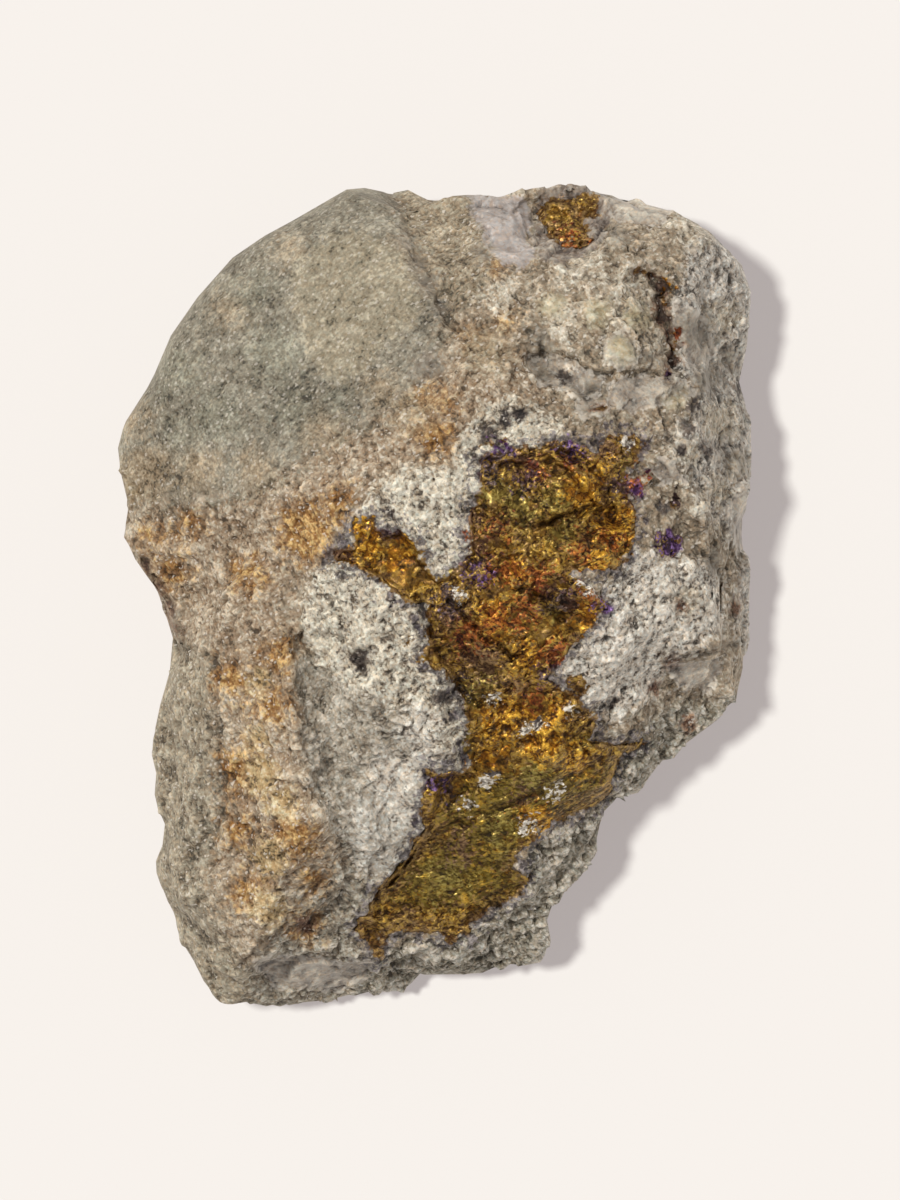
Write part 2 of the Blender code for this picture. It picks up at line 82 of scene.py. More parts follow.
# Zones of the upper side. Each is an outline that runs past the stone's edge where the zone does.
ZONES = {
    # The grey-green host rock that makes the smooth face at the upper left
    "host": [
        (-42.7, 16.6), (-34.6, 12.9), (-29.6, 9.8), (-24.5, 10.3), (-19.5, 11.8), (-15.2, 14.2),
        (-11.9, 16.7), (-6.9, 19.2), (-1.9, 22.9), (-0.2, 26.8), (0.7, 30.5), (-0.6, 33.1), (-3.1, 37.8),
        (-4.6, 42.0), (-5.8, 51.2), (-22.9, 51.2), (-42.7, 32.5),
    ],
    # The yellower, fresher scar on that face
    "scar": [
        (-15.2, 36.7), (-12.8, 38.6), (-9.5, 39.8), (-6.2, 38.8), (-3.6, 36.7), (-1.9, 32.6), (-2.5, 29.8),
        (-5.5, 27.6), (-7.7, 24.6), (-11.3, 23.0), (-13.9, 25.5), (-15.5, 30.3), (-16.3, 34.2),
    ],
    # Browner rock beyond the groove that ends it
    "tan": [
        (-4.8, 46.5), (2.8, 46.5), (4.4, 40.6), (6.0, 36.6), (5.4, 33.2), (2.4, 30.6), (0.9, 30.4),
        (-0.4, 33.4), (-2.9, 38.0), (-4.4, 42.4),
    ],
    # The iron-stained band between host rock and quartz, and the rib that it runs down
    "stain": [
        (-38.3, 7.2), (-31.7, 9.6), (-26.2, 9.2), (-19.4, 10.5), (-11.9, 15.8), (-6.9, 18.2), (-1.4, 22.4),
        (0.2, 26.5), (3.0, 29.8), (7.4, 29.2), (12.1, 24.3), (12.1, 20.6), (8.5, 19.9), (4.6, 17.1),
        (1.9, 14.0), (-0.9, 13.8), (-4.7, 12.9), (-7.5, 10.5), (-10.2, 7.2), (-12.4, 3.7), (-15.2, 1.7),
        (-15.6, -4.9), (-14.6, -13.8), (-13.5, -20.1), (-11.0, -25.1), (-10.7, -28.0), (-13.9, -30.7),
        (-17.1, -34.9), (-20.8, -40.2), (-22.3, -37.8), (-24.0, -33.9), (-24.9, -30.7), (-23.3, -26.0),
        (-23.0, -22.9), (-23.3, -15.0), (-24.3, -6.5), (-27.3, -4.9), (-30.0, -1.6), (-35.0, 1.7),
    ],
    # White sugary quartz to the left of the ore, and to its right
    "white": [
        (-15.0, -1.0), (-13.5, 1.9), (-10.2, 5.2), (-9.1, 8.9), (-4.2, 12.9), (1.3, 14.0), (3.5, 18.2),
        (7.4, 21.3), (13.4, 18.8), (9.0, 10.5), (4.6, -0.5), (4.6, -13.7), (3.5, -20.4), (0.4, -19.4),
        (-1.8, -17.4), (-2.2, -14.4), (-2.4, -12.0), (-5.6, -11.8), (-8.0, -10.4), (-10.2, -8.7),
        (-13.0, -7.2), (-14.2, -4.6),
    ],
    "white_right": [
        (17.8, 0.6), (21.3, 5.6), (24.4, 3.9), (28.8, 3.9), (31.4, 1.6), (31.4, -4.0), (28.8, -5.4),
        (25.5, -6.5), (23.3, -10.4), (20.6, -13.7), (17.3, -13.1), (13.4, -10.4), (13.4, -7.1),
        (16.7, -3.8),
    ],
    # The grey lens of quartz between the rib and the ore, and its milkier lower end
    "lens": [
        (-15.5, -5.4), (-13.2, -7.1), (-10.2, -8.2), (-8.0, -10.2), (-5.6, -11.8), (-2.0, -12.2),
        (1.6, -11.7), (3.5, -15.3), (3.5, -21.4), (0.2, -22.5), (-0.9, -25.8), (-3.6, -29.6), (-5.8, -31.5),
        (-8.6, -30.4), (-10.6, -27.4), (-13.2, -21.4), (-14.5, -15.3),
    ],
    "pale_lens": [
        (-9.5, -22.5), (-6.9, -20.8), (-2.5, -19.2), (0.2, -20.8), (-0.9, -25.8), (-3.6, -29.6),
        (-5.8, -31.3), (-8.4, -30.0), (-9.5, -26.3),
    ],
    # Lavender-grey glassy quartz at the top
    "lavender": [
        (3.3, 44.6), (6.8, 44.1), (9.6, 43.5), (10.4, 41.9), (9.9, 39.1), (10.8, 36.7), (9.0, 35.3),
        (6.5, 36.7), (4.8, 39.1), (3.7, 41.3),
    ],
    # The dark glassy pit beside it
    "pit": [
        (11.2, 46.0), (18.0, 46.0), (19.1, 41.9), (18.5, 39.1), (15.6, 36.7), (11.8, 36.2), (10.2, 38.2),
        (10.8, 41.5),
    ],
    # The greyer rock down the right side
    "grey_right": [
        (25.7, 46.0), (39.8, 43.5), (39.8, -10.4), (33.8, -7.1), (32.7, -0.5), (33.8, 3.9), (28.8, 9.4),
        (26.6, 13.8), (24.4, 17.1), (27.7, 19.3), (28.8, 22.6), (25.7, 23.7), (25.7, 32.5), (27.2, 36.9),
    ],
    # The broken lower walls, at the lower right and at the bottom
    "wall": [
        (39.8, -10.4), (33.2, -10.4), (30.5, -11.5), (27.7, -11.5), (24.4, -12.2), (22.2, -15.9),
        (20.0, -18.1), (18.5, -21.9), (13.4, -24.9), (10.1, -27.4), (9.0, -32.9), (4.6, -35.9),
        (0.2, -37.9), (-5.8, -37.9), (-9.7, -42.8), (-9.7, -55.5), (39.8, -55.5),
    ],
    # The grey left side of the rib, and what lies under its oblique lower end
    "rib_face": [
        (-37.2, -0.5), (-29.3, -1.8), (-27.3, -4.9), (-24.3, -6.5), (-23.3, -15.0), (-23.0, -22.9),
        (-23.3, -26.0), (-24.9, -30.7), (-24.0, -33.9), (-22.3, -37.8), (-20.8, -40.2), (-19.4, -41.7),
        (-19.4, -55.5), (-37.2, -55.5),
    ],
    "foot": [
        (-11.0, -25.1), (-10.2, -29.1), (-6.7, -31.3), (-7.5, -34.6), (-8.6, -37.3), (-7.5, -40.1),
        (-9.7, -42.8), (-9.7, -55.5), (-19.4, -55.5), (-20.8, -40.2), (-17.1, -34.9), (-13.9, -30.7),
    ],
    # Clear grey quartz with smooth curved breaks, patch by patch
    "glass_ledge": [
        (9.2, 25.9), (12.1, 26.2), (15.1, 25.2), (17.8, 23.2), (17.6, 21.7), (14.5, 21.7), (11.2, 22.4),
    ],
    "glass_bead": [(14.5, 21.3), (16.9, 21.7), (18.5, 20.6), (18.3, 19.3), (15.6, 19.1)],
    "glass_bar": [
        (18.5, 22.8), (22.2, 24.1), (26.6, 23.5), (27.7, 22.1), (24.4, 20.6), (20.6, 19.7), (18.7, 20.4),
    ],
    "glass_knob": [(17.8, 27.6), (20.2, 28.7), (21.8, 27.0), (21.3, 24.6), (19.1, 23.9), (17.8, 25.7)],
    "glass_hollow": [(25.7, 32.7), (28.8, 30.5), (30.1, 27.0), (28.8, 23.9), (26.6, 25.9), (25.7, 29.2)],
    "glass_crown": [(19.5, 44.1), (23.9, 43.5), (25.7, 42.2), (23.9, 40.4), (20.2, 40.8), (18.5, 42.2)],
    "glass_edge": [(25.2, -7.3), (27.7, -7.1), (30.5, -6.8), (31.2, -8.4), (29.5, -10.2), (26.2, -10.0)],
    "glass_wedge": [(23.9, 14.7), (26.2, 14.5), (26.8, 12.5), (24.6, 12.0), (23.3, 13.1)],
    "glass_side": [(31.7, 10.5), (33.2, 11.1), (36.0, 10.5), (36.0, 4.8), (33.4, 5.0), (32.1, 7.4)],
    "glass_foot": [
        (-20.1, -40.3), (-16.3, -39.5), (-10.8, -40.3), (-7.3, -40.1), (-7.7, -42.8), (-11.9, -43.9),
        (-18.5, -43.4),
    ],
    # The seam of ore, and the two striated facets at its lower end
    "ore": [
        (4.3, 14.8), (7.5, 15.9), (11.4, 16.3), (13.9, 17.1), (15.5, 16.4), (17.6, 15.3), (18.7, 17.4),
        (21.9, 17.2), (21.8, 14.8), (20.2, 13.8), (20.8, 11.1), (21.7, 8.2), (21.1, 5.0), (19.8, 3.1),
        (16.3, 3.1), (14.1, 1.8), (16.8, 0.9), (19.2, -1.2), (17.6, -1.9), (16.1, -4.0), (14.1, -5.8),
        (13.0, -7.5), (11.4, -9.3), (14.1, -10.4), (15.5, -11.3), (16.8, -12.8), (16.6, -15.8),
        (19.8, -16.9), (22.7, -16.1), (19.6, -17.9), (19.0, -20.1), (18.4, -21.6), (16.7, -23.0),
        (13.8, -24.6), (11.2, -25.7), (10.1, -26.9), (8.4, -28.4), (8.1, -29.8), (9.7, -31.0), (8.9, -32.7),
        (6.2, -33.9), (4.4, -35.7), (3.1, -37.6), (1.5, -38.0), (-0.1, -37.1), (-2.9, -36.5), (-4.6, -36.8),
        (-6.3, -37.5), (-6.5, -39.8), (-7.4, -39.5), (-8.7, -36.8), (-7.9, -34.7), (-6.6, -32.4),
        (-4.5, -30.5), (-3.1, -28.8), (-2.1, -26.7), (-0.9, -25.6), (-1.6, -23.4), (-0.9, -19.9),
        (-1.5, -18.5), (0.2, -19.3), (2.2, -19.1), (3.4, -17.9), (3.3, -16.3), (3.2, -14.5), (2.8, -12.4),
        (2.0, -10.1), (0.8, -8.1), (-2.0, -6.8), (-1.2, -5.2), (-1.3, -2.5), (-0.8, -0.5), (-2.4, -0.4),
        (-4.5, 0.5), (-6.5, 1.8), (-8.8, 3.1), (-11.3, 3.7), (-11.1, 4.8), (-9.0, 5.6), (-8.9, 8.1),
        (-7.2, 8.2), (-6.3, 6.9), (-3.7, 7.1), (-2.5, 5.6), (-1.5, 3.4), (0.0, 2.0), (2.3, 2.6), (3.6, 4.5),
        (3.0, 6.5), (3.3, 8.3), (4.4, 10.8), (4.2, 12.7),
    ],
    "olive": [
        (0.2, -23.8), (3.5, -20.8), (9.0, -19.0), (13.4, -18.1), (17.8, -18.3), (22.2, -16.1),
        (19.6, -18.1), (18.7, -21.4), (13.8, -24.6), (10.1, -26.0), (8.4, -28.9), (9.6, -31.0),
        (8.8, -32.7), (4.6, -34.0), (-0.9, -34.0), (-5.8, -33.5), (-4.4, -30.4), (-0.9, -27.8),
    ],
}

# Spots, each the x and y of its centre and its radius
SPOTS = {
    # Iron-orange hot spots
    "hot": [
        (-14.2, 6.8, 3.2), (-10.6, 9.6, 2.0), (-0.4, 17.2, 2.1), (-1.6, 21.2, 2.0), (0.4, 11.8, 1.4),
        (-27.2, 8.0, 1.6), (-31.0, 6.6, 1.2), (7.2, 30.2, 1.2), (5.6, 36.2, 1.6), (-15.6, 35.0, 1.5),
        (-15.8, 31.6, 1.1), (-21.4, -19.0, 2.6), (-15.8, -26.4, 2.4), (-20.8, -32.4, 2.0),
        (-17.2, -6.6, 1.8), (-21.8, -25.6, 1.8), (-18.0, -12.0, 2.0), (-22.4, -9.0, 1.8),
        (-14.6, -36.0, 1.6), (-13.4, -31.2, 1.2), (-20.6, 2.2, 1.8), (-29.0, 2.6, 1.6), (4.0, 27.6, 1.0),
        (0.6, 20.6, 1.0),
    ],
    # Creamy spots on the rib, and the pale brown knob at the left end of the host rock
    "cream": [
        (-19.2, -19.4, 2.0), (-17.0, -22.6, 1.8), (-18.4, -28.6, 2.0), (-33.2, 12.6, 1.6),
        (-19.8, -15.4, 1.2), (-18.8, -34.2, 2.0), (-19.2, -9.6, 1.4),
    ],
    # Brown and green patches on the host rock
    "brown": [
        (-31.6, 13.4, 3.0), (-26.2, 13.6, 2.2), (-22.6, 31.2, 1.4), (-4.6, 36.6, 1.5), (-12.6, 18.2, 2.0),
        (-19.6, 13.6, 1.8), (-6.2, 22.4, 1.6), (-33.0, 19.4, 1.4), (-16.2, 37.6, 1.3), (5.2, 26.4, 2.4),
        (-2.4, 20.0, 1.8),
    ],
    "green": [
        (-17.6, 26.0, 3.2), (-24.2, 19.6, 2.8), (-20.2, 33.0, 1.8), (-28.2, 24.2, 2.4), (-15.8, 20.4, 2.2),
        (-11.2, 21.0, 1.2), (-28.0, 17.4, 1.4),
    ],
    # Paler and darker patches of the cream quartz. The last four darker spots lie along the groove at the
    # right edge of the host rock and are painted shade in that groove
    "pale": [
        (20.6, 32.5, 3.2), (15.0, 36.3, 2.6), (27.7, 40.8, 2.6), (17.8, 43.0, 2.2), (6.8, 32.5, 2.0),
        (23.4, 27.6, 1.6), (31.0, 19.3, 2.0), (13.4, 29.2, 2.0), (10.1, 40.8, 1.4), (31.4, 30.4, 1.8),
        (26.6, 15.8, 1.8), (30.6, 11.4, 1.6), (10.6, 24.4, 1.2), (27.2, -0.6, 1.6), (22.2, 44.0, 1.4),
    ],
    "shade": [
        (23.0, 25.6, 1.0), (28.0, 28.4, 1.8), (11.4, 24.2, 0.9), (17.0, 20.2, 1.0), (25.4, 22.2, 0.8),
        (34.4, 7.6, 1.0), (11.2, 27.4, 1.4), (29.4, 23.6, 1.6), (-0.8, 24.8, 1.6), (16.8, 22.4, 1.3),
        (31.8, 26.0, 1.4), (33.0, 14.2, 1.6), (5.0, 37.4, 1.0), (30.0, 3.6, 1.2), (19.8, 39.2, 1.2),
        (-3.4, 38.6, 0.7), (-2.2, 36.2, 0.8), (-1.0, 33.8, 0.8), (0.2, 31.4, 0.8),
    ],
    # Clear quartz with a tinge of yellow
    "honey": [
        (19.8, 26.4, 1.6), (17.4, 30.6, 1.4), (12.4, 31.4, 1.2), (21.6, 30.2, 1.2), (26.0, 21.6, 1.0),
    ],
    # Rusty crevices and brown spots. The first four are painted shadow in the undercut notch at the left
    "rust": [
        (-32.2, 3.4, 0.7), (-31.0, 0.8, 0.8), (-29.6, -1.8, 0.8), (-28.6, -4.0, 0.7), (21.6, 35.2, 0.5),
        (23.2, 34.8, 0.5), (24.4, 33.6, 0.9), (24.2, 31.8, 0.9), (24.5, 30.2, 1.0), (25.2, 28.6, 0.9),
        (25.8, 27.0, 0.7), (25.5, 25.4, 0.7), (24.9, 24.2, 0.8), (17.6, 20.6, 0.7), (26.4, -1.0, 0.7),
        (32.6, -1.2, 0.7), (25.6, -7.0, 0.8), (23.6, -10.0, 0.8), (27.6, -14.2, 0.8), (-14.6, -35.8, 1.0),
        (21.0, 16.2, 1.3),
    ],
    # Blue and purple tarnish
    "blue": [
        (25.1, 5.8, 1.6), (1.6, -0.6, 1.1), (13.8, -1.2, 1.1), (18.2, -0.9, 1.0), (14.4, 16.4, 1.1),
        (4.4, 3.2, 1.0), (6.6, 15.2, 1.0), (5.2, 14.0, 0.9), (-0.4, -20.4, 0.8), (0.9, -21.2, 0.7),
        (25.4, 10.9, 0.6), (9.6, 12.0, 0.8), (12.0, -8.6, 0.9), (-5.4, 7.0, 0.9), (19.4, 11.6, 1.0),
        (2.0, -11.0, 0.9),
    ],
    "red": [
        (5.2, 3.2, 1.3), (3.6, -4.2, 1.5), (16.4, 0.4, 1.3), (7.6, 2.6, 1.2), (21.6, 12.2, 1.3),
        (22.8, 12.0, 1.0), (10.6, 1.8, 1.4), (25.8, 28.2, 0.7), (6.2, -2.8, 1.2), (12.2, -6.2, 1.2),
        (2.2, 5.4, 0.9), (15.6, 5.2, 0.9), (9.0, -2.2, 1.1), (18.8, 5.8, 1.0), (14.4, 15.0, 0.9),
        (6.8, 7.2, 0.8), (10.4, 13.0, 0.9), (10.8, -11.4, 0.9), (14.6, 38.8, 0.7),
    ],
    # Bright gold in the ore
    "gold": [
        (19.2, 7.4, 2.2), (15.8, 11.4, 1.8), (17.6, 13.0, 1.2), (6.0, -2.6, 2.0), (-4.4, 4.8, 1.4),
        (7.6, -13.2, 2.1), (15.8, -1.8, 1.6), (11.4, -15.8, 2.0), (15.6, -17.6, 1.6), (9.6, -6.6, 1.6),
        (8.4, 2.6, 1.6), (5.8, -17.0, 1.6), (12.8, -13.0, 1.4), (17.4, 4.2, 1.4), (-5.2, -12.4, 0.6),
        (25.3, 33.8, 0.5), (10.6, -24.4, 1.4), (-7.2, 5.4, 1.4), (-8.2, 7.2, 0.8),
    ],
    # Ore away from the seam: in the pit at the top, and bits below and beside the seam
    "ore_bits": [
        (12.6, 42.0, 1.5), (14.4, 41.4, 1.9), (16.0, 42.8, 1.4), (13.6, 39.6, 1.5), (15.4, 39.6, 1.2),
        (15.4, -9.6, 1.2), (25.1, 5.8, 1.3),
    ],
    # Flecks of ore that lie flush in the quartz
    "ore_flecks": [
        (-6.8, -13.2, 0.4), (25.3, 33.6, 0.6), (20.9, 12.3, 0.5), (21.8, 12.2, 0.8), (22.9, 12.5, 0.5),
        (25.4, 10.9, 0.4), (25.2, 9.8, 0.4), (25.7, 28.4, 0.5), (25.8, 27.5, 0.5), (25.6, 26.6, 0.4),
        (25.0, 24.0, 0.4), (21.8, 35.3, 0.3), (22.8, 34.9, 0.3), (24.4, 32.4, 0.5), (5.6, 16.2, 0.5),
        (6.9, 17.0, 0.4), (17.8, 20.6, 0.3), (-3.4, -5.2, 0.3), (24.4, -6.0, 0.3), (-10.6, 4.6, 0.5),
    ],
    # Bits of white quartz on the ore and beside it
    "sugar_bits": [
        (12.4, 17.6, 1.0), (13.4, 17.0, 0.7), (10.4, -14.2, 0.7), (9.4, -14.7, 0.5), (5.4, -20.2, 0.7),
        (6.2, -19.7, 0.5), (13.2, -21.0, 0.6), (12.5, -21.5, 0.4), (6.6, -10.8, 0.4), (5.9, -11.3, 0.3),
        (3.3, -23.0, 0.4), (10.2, -25.4, 0.6), (9.2, -25.8, 0.5), (16.3, 1.2, 0.8), (15.2, 1.9, 0.5),
        (14.6, -12.6, 0.6), (2.3, -0.4, 0.4), (19.8, -15.2, 0.7), (26.4, 12.6, 0.9), (28.6, 9.7, 1.0),
        (31.2, 7.2, 0.8), (20.4, 16.4, 0.5), (2.9, -0.1, 0.3),
    ],
    # Dull purplish brown tarnish
    "plum": [
        (4.6, -6.8, 2.2), (1.0, -2.4, 1.4), (3.8, 12.6, 1.1), (3.6, 8.4, 1.1), (3.7, 5.4, 1.0),
        (8.2, -9.4, 1.2), (11.8, 0.6, 1.2), (18.4, 15.6, 1.2), (20.6, 9.8, 0.9), (-5.6, 6.6, 0.9),
        (-9.6, 4.6, 0.9), (1.8, -17.6, 1.0), (9.4, 14.4, 1.3), (2.6, -27.4, 1.2), (9.6, -22.6, 1.0),
    ],
    # Yellow-green brass
    "mossy": [
        (8.4, 9.6, 2.0), (6.0, 11.4, 1.4), (12.6, 10.4, 1.5), (5.4, -8.8, 1.8), (3.4, -10.8, 1.2),
        (0.0, 3.0, 0.8), (10.4, -19.6, 1.6), (16.0, -16.6, 1.4), (14.2, 6.6, 1.4), (3.0, -16.4, 1.0),
        (-6.4, 5.0, 0.8), (19.6, 14.2, 0.9), (12.6, -1.8, 0.8), (1.2, -30.6, 1.8), (7.0, -25.4, 1.6),
    ],
    # The most vivid purple tarnish
    "violet": [
        (25.1, 5.8, 1.2), (4.4, 2.2, 0.3), (18.3, -0.8, 0.5), (14.4, 16.2, 0.3), (6.4, 16.2, 0.5),
        (0.2, -20.4, 0.3), (25.0, 24.0, 0.4), (22.0, 12.2, 0.2),
    ],
    # The milkiest part of the sugary quartz
    "milky": [
        (-2.2, -14.4, 2.0), (-1.6, -17.2, 2.2), (-4.6, -19.6, 2.4), (-4.0, -23.0, 1.8), (24.4, 2.0, 2.0),
        (22.6, -1.4, 1.8),
    ],
    # Dark minerals in the sugary quartz, and one dark spot over the short deep crack at (-8.4, -7.2)
    "dark": [
        (-4.8, 0.0, 0.8), (-2.2, -3.4, 0.6), (0.3, -11.0, 0.8), (1.4, -13.0, 0.6), (2.9, -16.9, 0.6),
        (-1.2, -19.0, 0.8), (-2.4, -24.8, 0.6), (-8.4, -7.2, 1.1), (9.0, 19.6, 0.8), (5.6, 17.0, 0.9),
        (7.4, 18.8, 0.8), (27.2, 17.9, 0.7), (29.4, 15.9, 0.8), (26.1, 16.2, 0.6), (-2.6, -2.4, 0.7),
        (-1.4, -7.6, 0.8), (-6.0, 6.4, 0.7), (24.4, 9.6, 0.7), (11.6, -10.4, 0.8), (13.6, 23.6, 0.9),
        (-4.8, 9.0, 0.7), (3.0, -19.6, 0.8), (27.8, 20.8, 0.8), (-10.6, 6.0, 0.7), (19.0, -11.8, 0.7),
        (17.4, 12.0, 0.5), (33.0, 23.0, 0.8),
    ],
}

GLASS = [name for name in ZONES if name.startswith("glass")]

# Sharp broken steps, each a line, the drop to the side on its right as it is followed, or to its
# left where it is less than 0, and how far that drop takes to run out
STEPS = [
    ([(-14.8, -9.0), (-13.8, -18.0), (-10.8, -27.5), (-10.5, -31.0)], -0.4, 3.0),
    ([(-10.3, -31.0), (-14.5, -35.5), (-21.5, -41.5)], -0.6, 4.0),
    ([(-24.0, -5.0), (-23.2, -14.0), (-23.0, -24.0), (-24.8, -31.0)], 0.7, 3.0),
    ([(-4.7, 43.0), (-3.0, 38.5), (-0.6, 33.5), (0.8, 30.5), (0.0, 26.5)], -0.4, 2.5),
    ([(22.5, -7.5), (27.5, -6.6), (34.0, -4.8)], 0.6, 3.0),
    ([(9.0, 26.2), (13.0, 26.6), (17.8, 24.2), (21.0, 24.6), (27.6, 23.8)], 0.8, 2.5),
    ([(22.2, 36.2), (23.6, 33.0), (24.2, 29.6), (24.9, 24.4)], -0.7, 1.6),
    ([(10.6, 44.6), (10.2, 40.6), (11.0, 37.0), (14.6, 36.0), (18.8, 38.0)], -0.8, 2.5),
    ([(23.9, 15.0), (25.8, 12.0), (27.4, 8.8), (30.0, 6.6), (33.4, 4.2)], 0.8, 2.5),
    ([(-31.0, 9.4), (-24.5, 10.0), (-19.5, 11.6), (-11.9, 16.6)], 0.35, 2.0),
]
# How far a step takes to drop, and to fade in at its ends
STEP_EDGE = 0.45
STEP_ENDS = 1.5

# Cracks and clefts, each a line with its width and depth
CRACKS = [
    ([(11.4, 7.6), (13.1, 8.2), (14.6, 8.7), (16.8, 9.4), (17.8, 9.3)], 0.8, 1.1),
    ([(13.4, 15.5), (16.7, 13.8), (18.5, 11.1), (19.1, 7.8)], 0.8, 0.8),
    ([(11.8, 14.7), (14.7, 12.7), (16.2, 10.5)], 0.7, 0.7),
    ([(6.8, 13.8), (10.1, 14.2), (13.0, 13.1)], 0.7, 0.7),
    ([(4.4, 10.5), (6.8, 8.3), (10.7, 7.2)], 0.5, 0.4),
    ([(3.5, 3.7), (7.3, 3.9), (9.4, 4.5), (11.4, 3.9)], 0.6, 0.5),
    ([(1.5, -0.5), (3.5, -3.2), (5.6, -5.1), (6.9, -5.4), (8.0, -6.8)], 0.7, 0.8),
    ([(-2.0, -0.5), (-0.7, -4.9), (1.3, -7.6)], 0.7, 0.6),
    ([(9.0, 0.6), (11.8, -0.5), (13.4, -2.7)], 0.8, 0.8),
    ([(1.9, -9.3), (4.6, -11.5), (9.0, -12.0)], 0.7, 0.5),
    ([(0.2, -18.1), (6.8, -16.4), (13.4, -15.3), (18.9, -15.9)], 0.8, 0.5),
    ([(0.2, -25.8), (9.0, -22.5), (17.8, -18.1)], 0.7, 0.4),
    ([(-32.4, 3.9), (-30.6, 0.6), (-28.7, -2.6), (-28.0, -6.0)], 1.0, 0.9),
    ([(23.9, 32.4), (25.2, 29.4), (25.4, 26.0), (25.3, 23.4)], 0.8, 0.8),
    ([(21.4, 35.2), (23.4, 34.8), (24.6, 33.6)], 0.6, 0.5),
    ([(12.2, 24.0), (14.8, 23.2), (16.0, 21.4)], 0.7, 0.5),
    ([(-12.4, -30.4), (-15.8, -34.8), (-21.6, -40.8)], 0.5, 0.3),
    ([(24.6, -6.6), (29.0, -6.2), (33.0, -5.2)], 0.7, 0.3),
    ([(-8.7, -6.9), (-8.0, -7.7)], 1.2, 1.0),
]

# Where the sides are pushed in or out a little: a place, the push, and its reach
PUSHES = [
    ((34.0, 30.0), (1.3, 0.3), 9.0),
    ((34.0, 13.0), (1.5, 0.0), 9.0),
    ((34.5, -3.0), (0.8, 0.0), 7.0),
    ((27.5, 41.0), (0.8, 0.8), 7.0),
    ((-16.0, 44.0), (1.3, -1.4), 5.0),
    ((-8.4, 43.6), (0.3, 1.1), 5.0),
    ((-34.2, 18.6), (-1.0, 0.3), 3.4),
    ((-34.6, 12.6), (0.6, 0.0), 2.6),
    ((-27.0, 34.0), (0.4, -0.4), 7.0),
    ((16.0, -30.0), (-0.4, 0.3), 6.0),
]

# The direction of the scratches along the striated facets, their width and length
STRIAE_TURN = math.radians(20)
STRIAE_WIDTH = 0.55
STRIAE_LENGTH = 6.0

# Waves in the edges of the zones and in the cracks, each a reach and a width, and the smaller ones
# that both have
ZONE_WAVE = (0.6, 3.5)
CRACK_WAVE = (0.35, 2.0)
RIPPLES = ((0.45, 1.2), (0.22, 0.5))
WAVE_SHIFT = 31.7

# How far the blocks of broken rock are offset and lean
FACET_STEP = 0.4
FACET_LEAN = 1.8
# The small waves in the fibres, and what makes them and the patches' directions differ from other
# patterns at the same places
FIBRE_WAVE = (0.25, 0.9)
FIBRE_SHIFT = 4.0
PATCH_SHIFT = 9.0


def smooth(value):
    """Eases from 0 to 1 as the value goes from 0 to 1."""
    held = np.clip(value, 0.0, 1.0)
    return held * held * (3.0 - 2.0 * held)


def line_distance(flat, line):
    """Distance of each point seen from above to a line."""
    nearest = np.full(len(flat), np.inf)
    for start, end in zip(np.array(line[:-1]), np.array(line[1:])):
        along = end - start
        share = np.clip((flat - start) @ along / (along @ along), 0.0, 1.0)
        gap = np.linalg.norm(flat - start - share[:, None] * along, axis=1)
        nearest = np.minimum(nearest, gap)
    return nearest


def inside_distance(flat, outline):
    """Distance of each point to an outline, more than 0 inside it."""
    inside = np.zeros(len(flat), bool)
    x, y = flat.T
    for (ax, ay), (bx, by) in zip(outline, outline[1:] + outline[:1]):
        if ay != by:
            crosses = (ay > y) != (by > y)
            inside ^= crosses & (x < (bx - ax) * (y - ay) / (by - ay) + ax)
    gap = line_distance(flat, outline + outline[:1])
    return np.where(inside, gap, -gap)


def step_down(flat, line, drop, reach):
    """How far a broken step lowers each point beside it."""
    nearest = np.full(len(flat), np.inf)
    signed = np.zeros(len(flat))
    travelled = np.zeros(len(flat))
    length = 0.0
    for start, end in zip(np.array(line[:-1]), np.array(line[1:])):
        along = end - start
        away = flat - start
        share = np.clip(away @ along / (along @ along), 0.0, 1.0)
        gap = np.linalg.norm(away - share[:, None] * along, axis=1)
        side = np.sign(along[1] * away[:, 0] - along[0] * away[:, 1])
        closer = gap < nearest
        nearest = np.where(closer, gap, nearest)
        signed = np.where(closer, gap * side, signed)
        travelled = np.where(closer, length + share * np.linalg.norm(along), travelled)
        length += np.linalg.norm(along)
    below = signed * np.sign(drop)
    fades = smooth(np.minimum(travelled, length - travelled) / STEP_ENDS)
    return abs(drop) * fades * smooth(below / STEP_EDGE + 0.5) * np.exp(-below.clip(0.0) / reach)


def spot_distance(flat, spots):
    """Distance of each point to the edge of the nearest spot, more than 0 inside it."""
    gaps = [radius - np.linalg.norm(flat - (x, y), axis=1) for x, y, radius in spots]
    return np.max(gaps, axis=0)


def soft_noise(points, width, shift=0.0):
    """Smooth random waves of this width, about -1 to 1."""
    return np.array([noise.noise(point) for point in (points / width + shift).tolist()])


def ridges(points, width, shift=0.0):
    """Sharp ridges about this width apart, with round valleys between them."""
    return 0.5 - 2.0 * np.abs(soft_noise(points, width, shift))


def crumbs(points, width, shift=0.0):
    """Rounded grains of this width, 0.5 on top and about -0.5 in the clefts."""
    scaled = (points / width + shift).tolist()
    return np.array([0.5 - noise.voronoi(point)[0][0] for point in scaled])


def facets(points, width, turn):
    """Broken blocks of this width, each with a flat face that leans its own way."""
    turned = (points / width) @ np.array(turn)
    centres = np.array([noise.voronoi(point)[1][0][:] for point in turned.tolist()])
    leans = np.array([noise.cell_vector(centre)[:] for centre in centres.tolist()]) - 0.5
    steps = np.array([noise.cell(centre) for centre in centres.tolist()])
    return FACET_STEP * steps + FACET_LEAN * ((turned - centres) * leans).sum(axis=1)


def wandering(points, wave=ZONE_WAVE):
    """The points seen from above, moved about so that the zones' edges wander."""
    moved = points[:, :2] - ZONES_MIDDLE
    for axis in (0, 1):
        for reach, width in (wave, *RIPPLES):
            moved[:, axis] += reach * soft_noise(points, width, WAVE_SHIFT * (axis + 1))
    return moved


